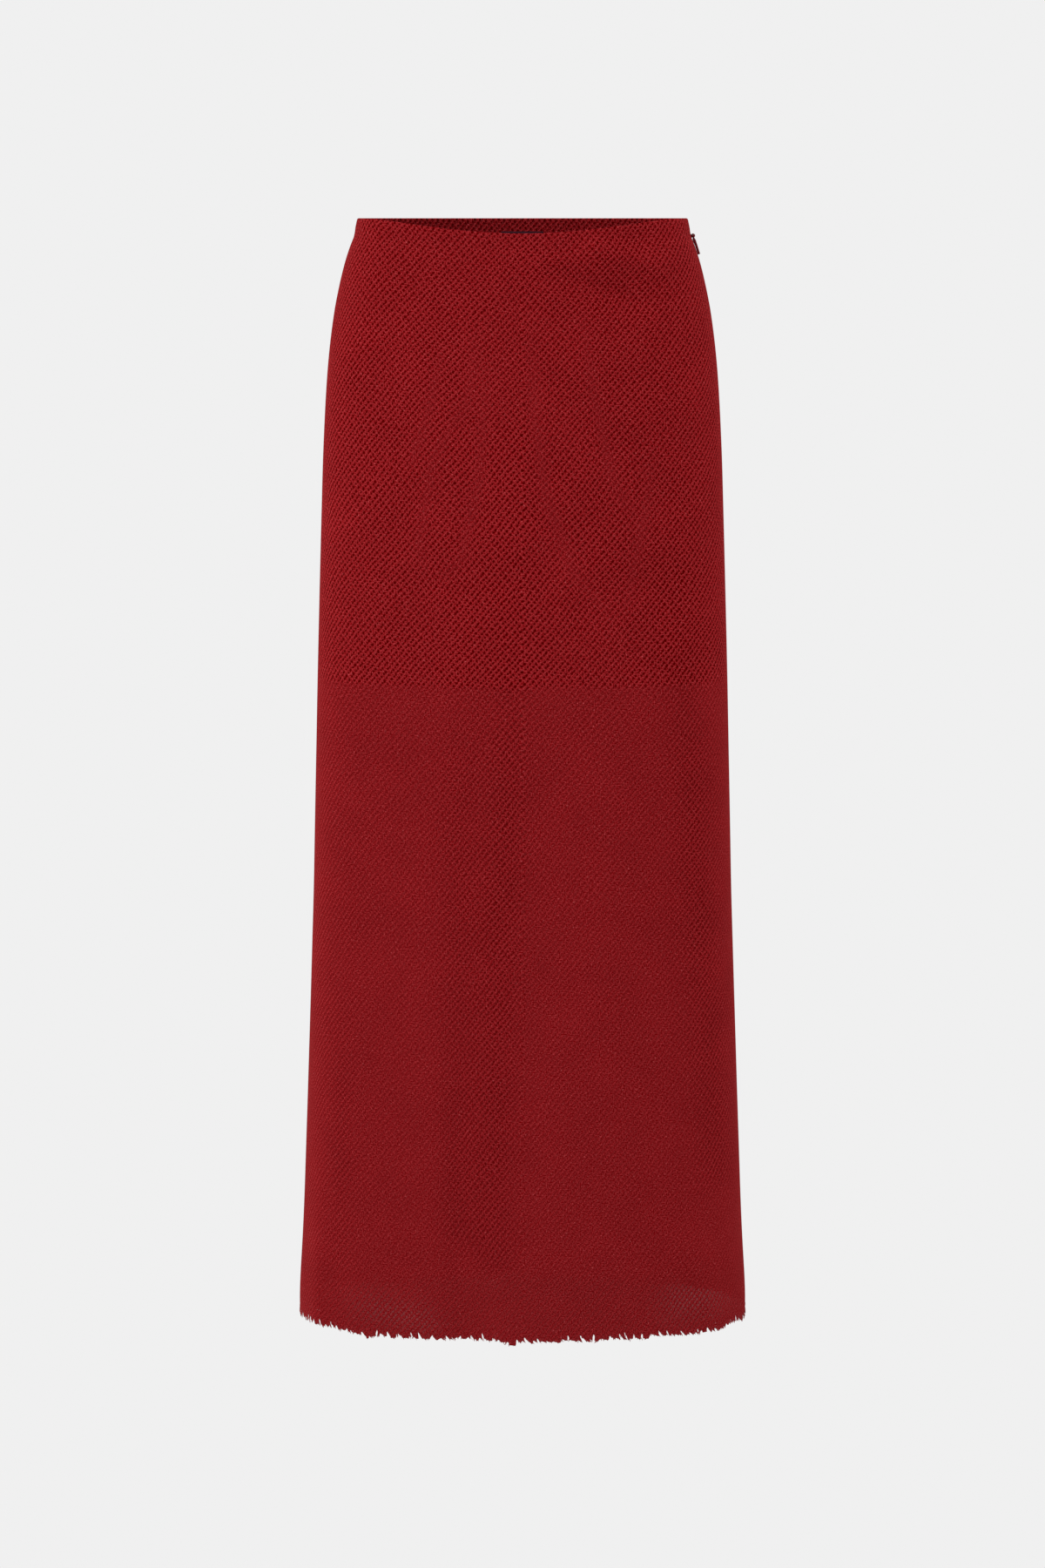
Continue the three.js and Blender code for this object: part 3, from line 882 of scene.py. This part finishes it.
def build_panel(side, settings):
    """One panel of the skirt as a thin sheet, with its rolled rim and its turned-in seams."""
    inner_turns = even_turns(FORM, side, PANEL_SPACING, edge=SEAM_EDGE)
    ends = len(SEAM_ROLL)
    turns = np.pad(inner_turns, ends, constant_values=(0, 1))
    seam_insets, seam_asides = np.transpose(SEAM_ROLL) * MM
    insets, asides = (np.pad(part, (0, len(turns) - ends)) for part in (seam_insets, seam_asides))
    insets = insets + insets[::-1]
    asides = asides + asides[::-1]
    rim_insets, rim_downs = np.transpose(RIM_ROLL) * MM
    fine_downs = np.arange(3.0, 42, 1.6) * MM
    plain_downs = np.arange(44, (HEM - TUFT_TOP) / MM - 1, 4.0) * MM
    downs = np.concatenate((rim_downs, fine_downs, plain_downs, [HEM - TUFT_TOP]))
    row_insets = np.pad(rim_insets, (0, len(downs) - len(rim_insets)))
    place, out, down, flat = cloth_grid(FORM, side, turns, downs)
    marks = {
        "stretch": stretch_at(side, place[..., 0], down),
        "shade_behind": painted_shade_behind(side, place[..., 0], down),
        "bare": smooth_step(down, HEM - FLOOR_SHOWS, HEM - FLOOR_SHOWS + 10 * MM),
        # Painted shade in and below the waist band.
        "waist_shade": 1 - smooth_step(down, BAND - 12 * MM, BAND + 110 * MM),
    }
    place -= out * (row_insets[:, None] + insets[None, :])[..., None]
    edge = asides > 0
    opening = np.where(turns > 0.5, seam_opening(down), 0)
    place[:, edge, 1] = SIDES[side] * (asides + opening)[:, edge]
    cloth = ClothMesh(side)
    cloth.add(place, flat, **marks)
    piece = cloth.make(side + "_cloth", crepe_material("crepe_" + side, settings.crepe))
    join_frame(piece, side + "_panel")


class SKIRT_OT_panels(bpy.types.Operator):
    """Makes the front and back panels of openwork crepe"""

    bl_idname = "skirt.panels"
    bl_label = "Panels"

    def execute(self, context):
        for side in SIDES:
            build_panel(side, context.scene.bias_skirt)
        return {"FINISHED"}


def over_tapes(place):
    """Which quads of a grid lie over the zip's tapes."""
    middle = (place[:-1, :-1] + place[1:, 1:]) / 2
    return (np.abs(middle[..., 1]) < TAPE_REACH) & (middle[..., 0] > 0) & (middle[..., 2] > -ZIP_END)


FACING_INSET = 2.2 * MM  # how far in from the panels' face the facing lies


def build_facing(side, settings):
    """The band of crepe turned in behind the rim, cut back from the zip."""
    turns = even_turns(FORM, side, INNER_SPACING)
    downs = np.concatenate(([0.9 * MM], np.linspace(2 * MM, BAND, 8)))
    place, out, _, flat = cloth_grid(FORM, side, turns, downs)
    place -= out * FACING_INSET
    cloth = ClothMesh(side)
    # Its holes get the full painted shade, and its crepe is made 5% darker, painted shade inside the waist.
    cloth.add(place, flat, keep=~over_tapes(place), shade_behind=1.0)
    material = crepe_material("crepe_facing_" + side, settings.crepe, tone=0.95)
    piece = cloth.make("waist_facing_" + side + "_cloth", material)
    join_frame(piece, "waist_facing_" + side)


class SKIRT_OT_facings(bpy.types.Operator):
    """Makes the facings behind the waist's rim"""

    bl_idname = "skirt.facings"
    bl_label = "Facings"

    def execute(self, context):
        for side in SIDES:
            build_facing(side, context.scene.bias_skirt)
        return {"FINISHED"}


# ---------- the lining ----------

LINING_INSET = 0.4 * MM  # how far in from its solid's outer face the lining lies
LINING_HEM_RISE = 0.5 * MM  # how far its turned-up hem stands out


def build_lining(side, settings):
    """One half of the short lining, with its turned-up hem and its edges cut back along the zip."""
    turns = even_turns(LINING_FORM, side, INNER_SPACING)
    hem_fold = LINING_HEM - settings.lining.hem_depth
    plain_downs = np.arange(LINING_TOP, hem_fold - 3 * MM, 4 * MM)
    fold_downs = hem_fold + np.array((-1, 0, 0.8, 2, 5, 9)) * MM
    downs = np.concatenate((plain_downs, fold_downs, [LINING_HEM - 0.8 * MM, LINING_HEM]))
    place, out, down, flat = cloth_grid(LINING_FORM, side, turns, downs)
    ridges, _ = lining_ridges(side, place[..., 0], down)
    turned_up = LINING_HEM_RISE * smooth_step(down, hem_fold, hem_fold + 1.5 * MM)
    place += out * (ridges + turned_up - LINING_INSET)[..., None]
    material = woven_material(
        "lining_" + side, settings.lining.colour, 0.5 * MM, 0.03 * MM, roughness=0.5, sheen=0.15,
    )
    cloth = ClothMesh(side)
    cloth.add(place, flat, keep=~over_tapes(place))
    piece = cloth.make("lining_" + side + "_cloth", material)
    join_frame(piece, "lining_" + side)


class SKIRT_OT_lining(bpy.types.Operator):
    """Makes the short lining"""

    bl_idname = "skirt.lining"
    bl_label = "Lining"

    def execute(self, context):
        for side in SIDES:
            build_lining(side, context.scene.bias_skirt)
        return {"FINISHED"}


# ---------- the frayed hem ----------


class TubeBundle:
    """Many fine tubes gathered into one mesh."""

    def __init__(self):
        self.verts = []
        self.faces = []
        self.flat = []
        self.shades = []

    def add(self, path, radii, corners, shades):
        """A tube along a path, with a radius and a painted shade at each point."""
        first = len(self.verts)
        last = first + (len(path) - 1) * corners
        along = 0.0
        for i, point in enumerate(path):
            ahead = path[min(i + 1, len(path) - 1)] - path[max(i - 1, 0)]
            ahead = ahead.normalized() if ahead.length > 0 else Vector((0, 0, -1))
            one = ahead.cross(Vector((0.31, 0.87, 0.38))).normalized()
            two = ahead.cross(one)
            if i:
                along += (point - path[i - 1]).length
            for corner in range(corners):
                turn = 2 * math.pi * corner / corners
                self.verts.append(point + radii[i] * (math.cos(turn) * one + math.sin(turn) * two))
                self.flat.append((corner / corners * 2 * math.pi * radii[0], along))
                self.shades.append(shades[i])
        for low in range(first, last, corners):
            high = low + corners
            for corner in range(corners):
                following = (corner + 1) % corners
                self.faces.append((low + corner, low + following, high + following, high + corner))
        self.faces.append(tuple(last + corner for corner in range(corners)))
        self.faces.append(tuple(first + corner for corner in reversed(range(corners))))

    def make(self, name, material):
        """The piece that holds them all."""
        points = [tuple(v) for v in self.verts]
        return cloth_piece(name, points, self.faces, self.flat, {"shade": self.shades}, material)


# The notches between tufts in mm: how deep every other one or so may be and the rest are, and how they lean.
DEEP_NOTCH = (2.4, 5.4)
SHALLOW_NOTCH = (0.3, 1.5)
NOTCH_SLANTS = (-0.75, 0.8, 0.7, 0.5)

# How far below the hem the cut edge lies, and its rises and falls: how far apart, how high, and their layer.
EDGE_DROP = 3.9
EDGE_WANDER = ((26, 2.6, 0), (6, 2.1, 4), (1.1, 1.2, 8))


def between(tuft, key, share):
    """A value of the notch left of a tuft, blended across it to that of the notch right of it."""
    left, right = tuft
    return left[key] + share * (right[key] - left[key])


class Hem:
    """The raw edge of one panel, as tufts of cloth that part at narrow slanting notches."""

    def __init__(self, side):
        self.side = side
        self.rng = random.Random(SEEDS[side]["draws"])
        self.turns = np.linspace(0, 1, 2000)
        line, _ = cloth_points(FORM, side, self.turns, HEM, waves=False)
        self.runs = length_along(line)
        self.length = self.runs[-1]
        self.notches = list(self.make_notches())
        self.tufts = list(zip(self.notches[:-1], self.notches[1:]))

    def make_notches(self):
        """The notches one after another, each with its place, depth, slant, width and how it stands out."""
        rng = self.rng
        run = 0.0
        deep = False
        while True:
            at_seam = run == 0 or run == self.length
            deep = not deep and not at_seam and rng.random() < 0.5
            yield {
                "run": run,
                "depth": rng.uniform(*(DEEP_NOTCH if deep else SHALLOW_NOTCH)) * MM,
                "slant": 0 if at_seam else rng.choice(NOTCH_SLANTS) * rng.uniform(0.4, 1.0),
                "width": rng.uniform(1.2, 3.0) * MM,
                "stand": 0 if at_seam else rng.uniform(-0.2, 0.2) * MM,
            }
            if run == self.length:
                return
            run += rng.uniform(1.7, 3.4) * rng.uniform(0.8, 2.2) * MM
            if self.length - run < 1.5 * MM:
                run = self.length

    def wander(self, run):
        """How far the cut edge lies below the hem, as it wanders up and down."""
        seed = SEEDS[self.side]["wander"]
        drop = EDGE_DROP
        for apart, height, layer in EDGE_WANDER:
            drop += height * noise.noise(Vector((run / (apart * MM), seed, layer)))
        return drop * MM

    def edge(self, tuft, share):
        """How far below the hem a tuft reaches, at a share of its width."""
        left, right = tuft
        run = between(tuft, "run", share)
        cut = left["depth"] * max(0.0, 1 - ((run - left["run"]) / left["width"]) ** 2)
        cut += right["depth"] * max(0.0, 1 - (3 * (right["run"] - run) / right["width"]) ** 2)
        return self.wander(run) + 0.7 * MM * math.sin(math.pi * share) - cut

    def place(self, run, down, share, tuft):
        """Points of a tuft, which slants more and more towards its tip, and the directions out of them."""
        below = np.clip(down - (HEM - 2 * MM), 0, None)
        aside = between(tuft, "slant", share) * below**2 / (below + 3 * MM)
        run = np.clip(run + aside, 0, self.length)
        turn = np.interp(run, self.runs, self.turns)
        place, out = cloth_points(FORM, self.side, turn, np.minimum(down, HEM))
        place[..., 2] -= np.clip(down - HEM, 0, None)
        place += out * (between(tuft, "stand", share) * np.clip(below / (5 * MM), 0, 1))[..., None]
        return place, out, turn

    def patch(self, tuft):
        """The rows and columns of one tuft."""
        left, right = tuft
        wide = right["run"] - left["run"]
        shares = np.linspace(0, 1, max(4, int(wide / (0.32 * MM)) + 1))
        shares = np.sort(np.concatenate((shares, [left["width"] / wide / 2, 1 - right["width"] / wide / 6])))
        shares = np.clip(shares, 0, 1)
        edges = np.array([self.edge(tuft, share) for share in shares])
        top = HEM - TUFT_TOP
        falls = np.linspace(0, 1, 8)[:, None]
        downs = top + falls * np.minimum(TUFT_TOP + edges, TIPS - top - 0.3 * MM)[None, :]
        shares = np.broadcast_to(shares, downs.shape)
        place, _, turns = self.place(between(tuft, "run", shares), downs, shares, tuft)
        return place, turns, downs


def build_tufts(hem):
    """The cloth of the raw edge, whose weave runs on from the panel above."""
    cloth = ClothMesh(hem.side)
    for tuft in hem.tufts:
        place, turns, downs = hem.patch(tuft)
        flat = flat_grid(FORM, hem.side, turns, np.minimum(downs.mean(axis=1), HEM), downs.mean(axis=1))
        flat[..., 1] = -downs
        cloth.add(place, flat, stretch=stretch_at(hem.side, place[..., 0], downs), bare=1.0)
    piece = cloth.make("hem_tufts_" + hem.side, bpy.data.materials["crepe_" + hem.side])
    join_frame(piece, "hem_fray_" + hem.side)


def loose_end(hem, tuft, share, start, tip, slant, stand):
    """The path of one loose yarn end, which leaves its tuft and bends down a little."""
    points = []
    for along in (0, 0.25, 0.5, 0.75, 1):
        down = start + (tip - start) * along
        aside = slant * (tip - start) * (along - 0.3 * along * along)
        run = between(tuft, "run", share) + aside
        place, out, _ = hem.place(np.array(run), np.array(down), share, tuft)
        points.append(Vector(place) + Vector(out) * stand * along)
    return points


# The two kinds of loose end: their thickness and painted shade from root to tip, and the corners of their
# section.
YARN_END = {"taper": (0.5, 0.9, 1.0, 0.85, 0.4), "shades": (0.8, 0.9, 0.95, 1.0, 1.0), "corners": 5}
FIBRE_END = {"taper": (1.0, 1.0, 1.0, 1.0, 0.4), "shades": (0.8, 0.9, 1.0, 1.0, 1.0), "corners": 3}


def build_fray(hem, settings):
    """The loose yarn ends that stick out of the tufts, with some finer fibres."""
    rng = hem.rng
    bundle = TubeBundle()
    for tuft in hem.tufts:
        wide = tuft[1]["run"] - tuft[0]["run"]
        ends = 1 + int(wide / (2.0 * MM))
        for kind in [YARN_END] * ends + [FIBRE_END] * (ends // 2):
            share = rng.uniform(0.1, 0.9)
            edge = HEM + hem.edge(tuft, share)
            start = edge - rng.uniform(1.5, 3.5) * MM
            tip = min(edge + rng.uniform(-0.2, 1.5) * MM, TIPS)
            slant = rng.uniform(-0.7, 0.7)
            stand = rng.uniform(-0.3, 0.4) * MM
            path = loose_end(hem, tuft, share, start, tip, slant, stand)
            thick = settings.fibre_radius
            if kind is YARN_END:
                thick = settings.yarn_radius * rng.uniform(0.7, 1.1)
            bundle.add(path, [thick * part for part in kind["taper"]], kind["corners"], kind["shades"])
    piece = bundle.make("hem_fray_" + hem.side + "_yarns", bpy.data.materials["crepe_yarn_ends"])
    join_frame(piece, "hem_fray_" + hem.side)


class SKIRT_OT_hem_fray(bpy.types.Operator):
    """Makes the loose yarn ends of the raw hem"""

    bl_idname = "skirt.hem_fray"
    bl_label = "Frayed hem"

    def execute(self, context):
        settings = context.scene.bias_skirt
        yarn_end_material(settings.crepe)
        for side in SIDES:
            hem = Hem(side)
            build_tufts(hem)
            build_fray(hem, settings.hem)
        return {"FINISHED"}


# ---------- label and zip ----------


def cloned_node(name, material):
    """A copy of a frame node's mesh, to be given a finer surface."""
    return new_piece(name + "_fine", frame["nodes"][name].data.copy(), material)


def soften_edges(piece, width, segments):
    """Joins flat facets and rounds the edges of a hard piece."""
    with editing(piece) as bm:
        bmesh.ops.remove_doubles(bm, verts=bm.verts, dist=0.001 * MM)
        bmesh.ops.dissolve_limit(bm, angle_limit=math.radians(3), verts=bm.verts, edges=bm.edges)
        sharp = [e for e in bm.edges if len(e.link_faces) == 2 and e.calc_face_angle(0) > math.radians(35)]
        bmesh.ops.bevel(bm, geom=sharp, offset=width, segments=segments, affect="EDGES", clamp_overlap=True)
        bmesh.ops.triangulate(bm, faces=bm.faces)
    smooth_faces(piece.data)


# The pull's drop shape: how far its front and its back swell, and the hump high up on its back.
PULL_FRONT = 0.7 * MM
PULL_BACK = 0.48 * MM
PULL_HUMP = {"rise": 0.45 * MM, "down": 4.8 * MM, "half_length": 2.4 * MM}
PULL_BAR = {"radius1": 0.84 * MM, "radius2": 0.84 * MM, "depth": 2.2 * MM}


def round_pull(piece):
    """Makes the flat pull a drop that is thickest along its middle, with a round bar through the ring."""
    with editing(piece) as bm:
        widest = max(bm.faces, key=lambda face: face.calc_area())
        through = widest.normal * (1 if widest.normal.x > 0 else -1)
        middle = sum((v.co.dot(through) for v in bm.verts), 0.0) / len(bm.verts)
        for _ in range(4):
            bmesh.ops.triangulate(bm, faces=bm.faces)
            long_edges = [e for e in bm.edges if e.calc_length() > 0.6 * MM]
            bmesh.ops.subdivide_edges(bm, edges=long_edges, cuts=1)
        bmesh.ops.triangulate(bm, faces=bm.faces)
        top = max(v.co.z for v in bm.verts)
        half_wide = max(abs(v.co.y) for v in bm.verts)
        for v in bm.verts:
            down = top - v.co.z
            side = max(-1.0, min(1.0, (v.co.dot(through) - middle) / (0.5 * MM)))
            below = float(smooth_step(down, 1.6 * MM, 5 * MM if side > 0 else 3.4 * MM))
            across = math.sqrt(max(0.0, 1 - (v.co.y / half_wide) ** 2))
            past_hump = (down - PULL_HUMP["down"]) / PULL_HUMP["half_length"]
            behind = PULL_BACK + PULL_HUMP["rise"] * math.exp(-(past_hump**2))
            v.co += through * side * (PULL_FRONT if side > 0 else behind) * below * across
        at_hinge = Matrix.Translation(frame["joints"][0]["pos_m"]) @ Matrix.Rotation(math.pi / 2, 4, "X")
        bmesh.ops.create_cone(bm, cap_ends=True, segments=28, matrix=at_hinge, **PULL_BAR)
    smooth_faces(piece.data)


def flat_uvs(piece, across_axis):
    """UVs in metres from a piece's own box, across one axis and down."""
    layer = piece.data.uv_layers.get("cloth") or piece.data.uv_layers.new(name="cloth")
    for loop in piece.data.loops:
        co = piece.data.vertices[loop.vertex_index].co
        layer.data[loop.index].uv = (co[across_axis], co.z)


LABEL_DROP = 1.3 * MM  # how much lower its upper edge lies than the solid's


class SKIRT_OT_label(bpy.types.Operator):
    """Makes the bare woven label inside the back of the waist"""

    bl_idname = "skirt.label"
    bl_label = "Label"

    def execute(self, context):
        trim = context.scene.bias_skirt.trim
        material = woven_material("label_weave", trim.label, 0.5 * MM, 0.06 * MM, roughness=0.8, sheen=0.0)
        piece = cloned_node("label", material)
        top = max(v.co.z for v in piece.data.vertices)
        for v in piece.data.vertices:
            v.co.z -= LABEL_DROP * float(smooth_step(v.co.z, top - 4 * MM, top))
        soften_edges(piece, 0.25 * MM, 2)
        flat_uvs(piece, 0)
        join_frame(piece, "label")
        return {"FINISHED"}


COIL_INSET = 2.9 * MM  # how far in from the panels' face the coil's solid begins
COIL_MIDDLE = 0.8 * MM  # how much farther in its middle is
COIL_LOOP = 0.5 * MM  # how far a loop goes in and out from there
COIL_END = 0.4 * MM  # how far short of the solid's ends the filament stops
COIL_STEPS = 12  # points in each turn
FILAMENT = 0.3 * MM  # the filament's radius


def build_coil(trim):
    """The zip's closed coil: loops of round filament down the middle of the tapes."""
    low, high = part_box("zip_coil")
    top, foot = -high.z, -low.z
    points = int((foot - top) / trim.coil_pitch) * COIL_STEPS
    half_wide = (high.y - low.y) / 2 - FILAMENT
    path = []
    for i in range(points + 1):
        down = top + COIL_END + i / points * (foot - top - 2 * COIL_END)
        around = 2 * math.pi * i / COIL_STEPS
        middle = float(FORM.half_at(down)) - COIL_INSET - COIL_MIDDLE
        path.append(Vector((middle + COIL_LOOP * math.sin(around), half_wide * math.cos(around), -down)))
    bundle = TubeBundle()
    bundle.add(path, [FILAMENT] * len(path), 6, [1.0] * len(path))
    piece = bundle.make("zip_coil_filament", plain_material("zip_coil_red", trim.tape, 0.4))
    join_frame(piece, "zip_coil")


class SKIRT_OT_zip(bpy.types.Operator):
    """Makes the concealed zip: its tapes, coil, slider and pull"""

    bl_idname = "skirt.zip"
    bl_label = "Zip"

    def execute(self, context):
        trim = context.scene.bias_skirt.trim
        tape = woven_material("zip_tape_weave", trim.tape, 0.7 * MM, 0.08 * MM, roughness=0.7, sheen=0.1)
        enamel = enamel_material(trim.enamel)
        for side in SIDES:
            piece = cloned_node("zip_tape_" + side, tape)
            flat_uvs(piece, 1)
            join_frame(piece, "zip_tape_" + side)
        build_coil(trim)
        slider = cloned_node("zip_slider", enamel)
        soften_edges(slider, 0.25 * MM, 3)
        join_frame(slider, "zip_slider")
        pull = cloned_node("zip_pull", enamel)
        soften_edges(pull, 0.22 * MM, 3)
        round_pull(pull)
        join_frame(pull, "zip_pull", PULL_BODY)
        return {"FINISHED"}


# ---------- the studio ----------

# Soft square lamps: where each stands, how far down the skirt it points, its width and its watts.
LAMPS = {
    "left_lamp": ((-1.8, 1.26, -0.1), 0.5, 1.2, 32),
    "right_lamp": ((1.8, 0.7, 0.1), 0.5, 1.2, 17),
    "front_lamp": ((-1.6, -4.0, 3.4), 0.5, 1.2, 164),
    "back_lamp": ((0.8, 2.0, 1.9), 0.4, 0.7, 22),
}

# How much light the far walls give from all round, and how much more from behind and from above.
WALL_LIGHT = {"around": 0.4, "behind": 0.45, "above": 0.25}


def build_lamp(name):
    """One of the lamps, turned to the skirt."""
    place, down, size, power = LAMPS[name]
    data = bpy.data.lights.new(name, "AREA")
    data.shape = "SQUARE"
    data.size = size
    data.energy = power
    lamp = new_object(name, data)
    lamp.location = place
    lamp.rotation_euler = (Vector((0, 0, -down)) - Vector(place)).to_track_quat("-Z", "Y").to_euler()


def pale_to_look_at(tree, light, colour):
    """The studio's pale grey where it is looked at, and a dimmer light where it lights the skirt."""
    looked_at = put(tree, "LightPath").outputs["Is Camera Ray"]
    return blend_colours(tree, looked_at, light, colour)


def floor_material(colour):
    """A glowing pale floor, evenly pale where it is looked at, whose glow is dimmed right under the skirt as
    a painted shadow.
    """
    material, tree = new_material("glowing_floor")
    away = vector_calc(tree, "LENGTH", own_place(tree)).outputs["Value"]
    light = blend_colours(tree, ramp_between(tree, away, 1.1, 3.2), scaled_colour(colour, 0.4), colour)
    shade = {"Color": pale_to_look_at(tree, light, colour), "Strength": 1.0}
    return give_surface(material, shade, kind="Emission")


def build_floor(settings):
    """A wide flat floor well below the hem."""
    half_wide = 12.0
    corners = [(x * half_wide, y * half_wide, 0) for x, y in ((-1, -1), (1, -1), (1, 1), (-1, 1))]
    mesh = bpy.data.meshes.new("floor")
    mesh.from_pydata(corners, [], [(0, 1, 2, 3)])
    floor = new_piece("floor", mesh, floor_material(settings.backdrop))
    floor.location.z = -TIPS - settings.floor_drop


def build_surroundings(settings):
    """Far pale walls all round, which light the skirt more from behind and from above than from in front."""
    world = bpy.data.worlds.new("studio")
    world.use_nodes = True
    tree = world.node_tree
    direction = put(tree, "TexCoord").outputs["Generated"]
    way = put(tree, "SeparateXYZ", {0: direction}).outputs
    behind = calc(tree, "MULTIPLY", ramp_between(tree, way["Y"], -0.1, 0.4), WALL_LIGHT["behind"])
    above = calc(tree, "MULTIPLY", ramp_between(tree, way["Z"], 0.5, 0.95), WALL_LIGHT["above"])
    level = calc(tree, "ADD", calc(tree, "ADD", behind, above), WALL_LIGHT["around"])
    light = put(tree, "CombineXYZ", {0: level, 1: level, 2: level}).outputs[0]
    shade = pale_to_look_at(tree, light, settings.backdrop)
    tree.links.new(shade, tree.nodes["Background"].inputs["Color"])
    return world


def build_camera(settings):
    """The camera, level with the waist in front of it and looking down at the skirt's middle."""
    data = bpy.data.cameras.new("camera")
    data.sensor_width = 36
    data.lens = settings.lens
    data.clip_start = 0.1
    data.clip_end = 50
    camera = new_object("camera", data)
    camera.location = (0, -settings.camera_distance, 0)
    camera.rotation_euler = (math.pi / 2 - settings.camera_pitch, 0, 0)
    bpy.context.scene.camera = camera


class SKIRT_OT_studio(bpy.types.Operator):
    """Makes the camera, the lights, the floor and the pale surroundings"""

    bl_idname = "skirt.studio"
    bl_label = "Studio"

    def execute(self, context):
        settings = context.scene.bias_skirt.studio
        scene = context.scene
        scene.view_settings.view_transform = "Standard"
        scene.view_settings.look = "None"
        build_camera(settings)
        build_floor(settings)
        scene.world = build_surroundings(settings)
        for name in LAMPS:
            build_lamp(name)
        return {"FINISHED"}


# ---------- the add-on ----------

OPERATORS = (
    SKIRT_OT_studio,
    SKIRT_OT_panels,
    SKIRT_OT_facings,
    SKIRT_OT_lining,
    SKIRT_OT_hem_fray,
    SKIRT_OT_label,
    SKIRT_OT_zip,
)


class SKIRT_PT_sidebar(bpy.types.Panel):
    """Lists the skirt's pieces and their settings"""

    bl_idname = "SKIRT_PT_sidebar"
    bl_label = "Bias-cut skirt"
    bl_space_type = "VIEW_3D"
    bl_region_type = "UI"
    bl_category = "Skirt"

    def draw(self, context):
        settings = context.scene.bias_skirt
        for operator in OPERATORS:
            self.layout.operator(operator.bl_idname)
        for group in ("crepe", "hem", "lining", "trim", "studio"):
            box = self.layout.box()
            box.label(text=group.capitalize())
            values = getattr(settings, group)
            for name in values.bl_rna.properties.keys():
                if name not in ("rna_type", "name"):
                    box.prop(values, name)


CLASSES = (
    CrepeSettings,
    HemSettings,
    LiningSettings,
    TrimSettings,
    StudioSettings,
    SkirtSettings,
    *OPERATORS,
    SKIRT_PT_sidebar,
)


def register():
    """Registers the classes and hangs the settings on the scene."""
    for cls in CLASSES:
        bpy.utils.register_class(cls)
    bpy.types.Scene.bias_skirt = bpy.props.PointerProperty(type=SkirtSettings)


def unregister():
    """Takes the settings and the classes away again."""
    del bpy.types.Scene.bias_skirt
    for cls in reversed(CLASSES):
        bpy.utils.unregister_class(cls)


def main():
    """Builds the whole scene."""
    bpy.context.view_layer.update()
    register()
    bpy.ops.skirt.studio()
    bpy.ops.skirt.panels()
    bpy.ops.skirt.facings()
    bpy.ops.skirt.lining()
    bpy.ops.skirt.hem_fray()
    bpy.ops.skirt.label()
    bpy.ops.skirt.zip()


if __name__ == "__main__":
    main()
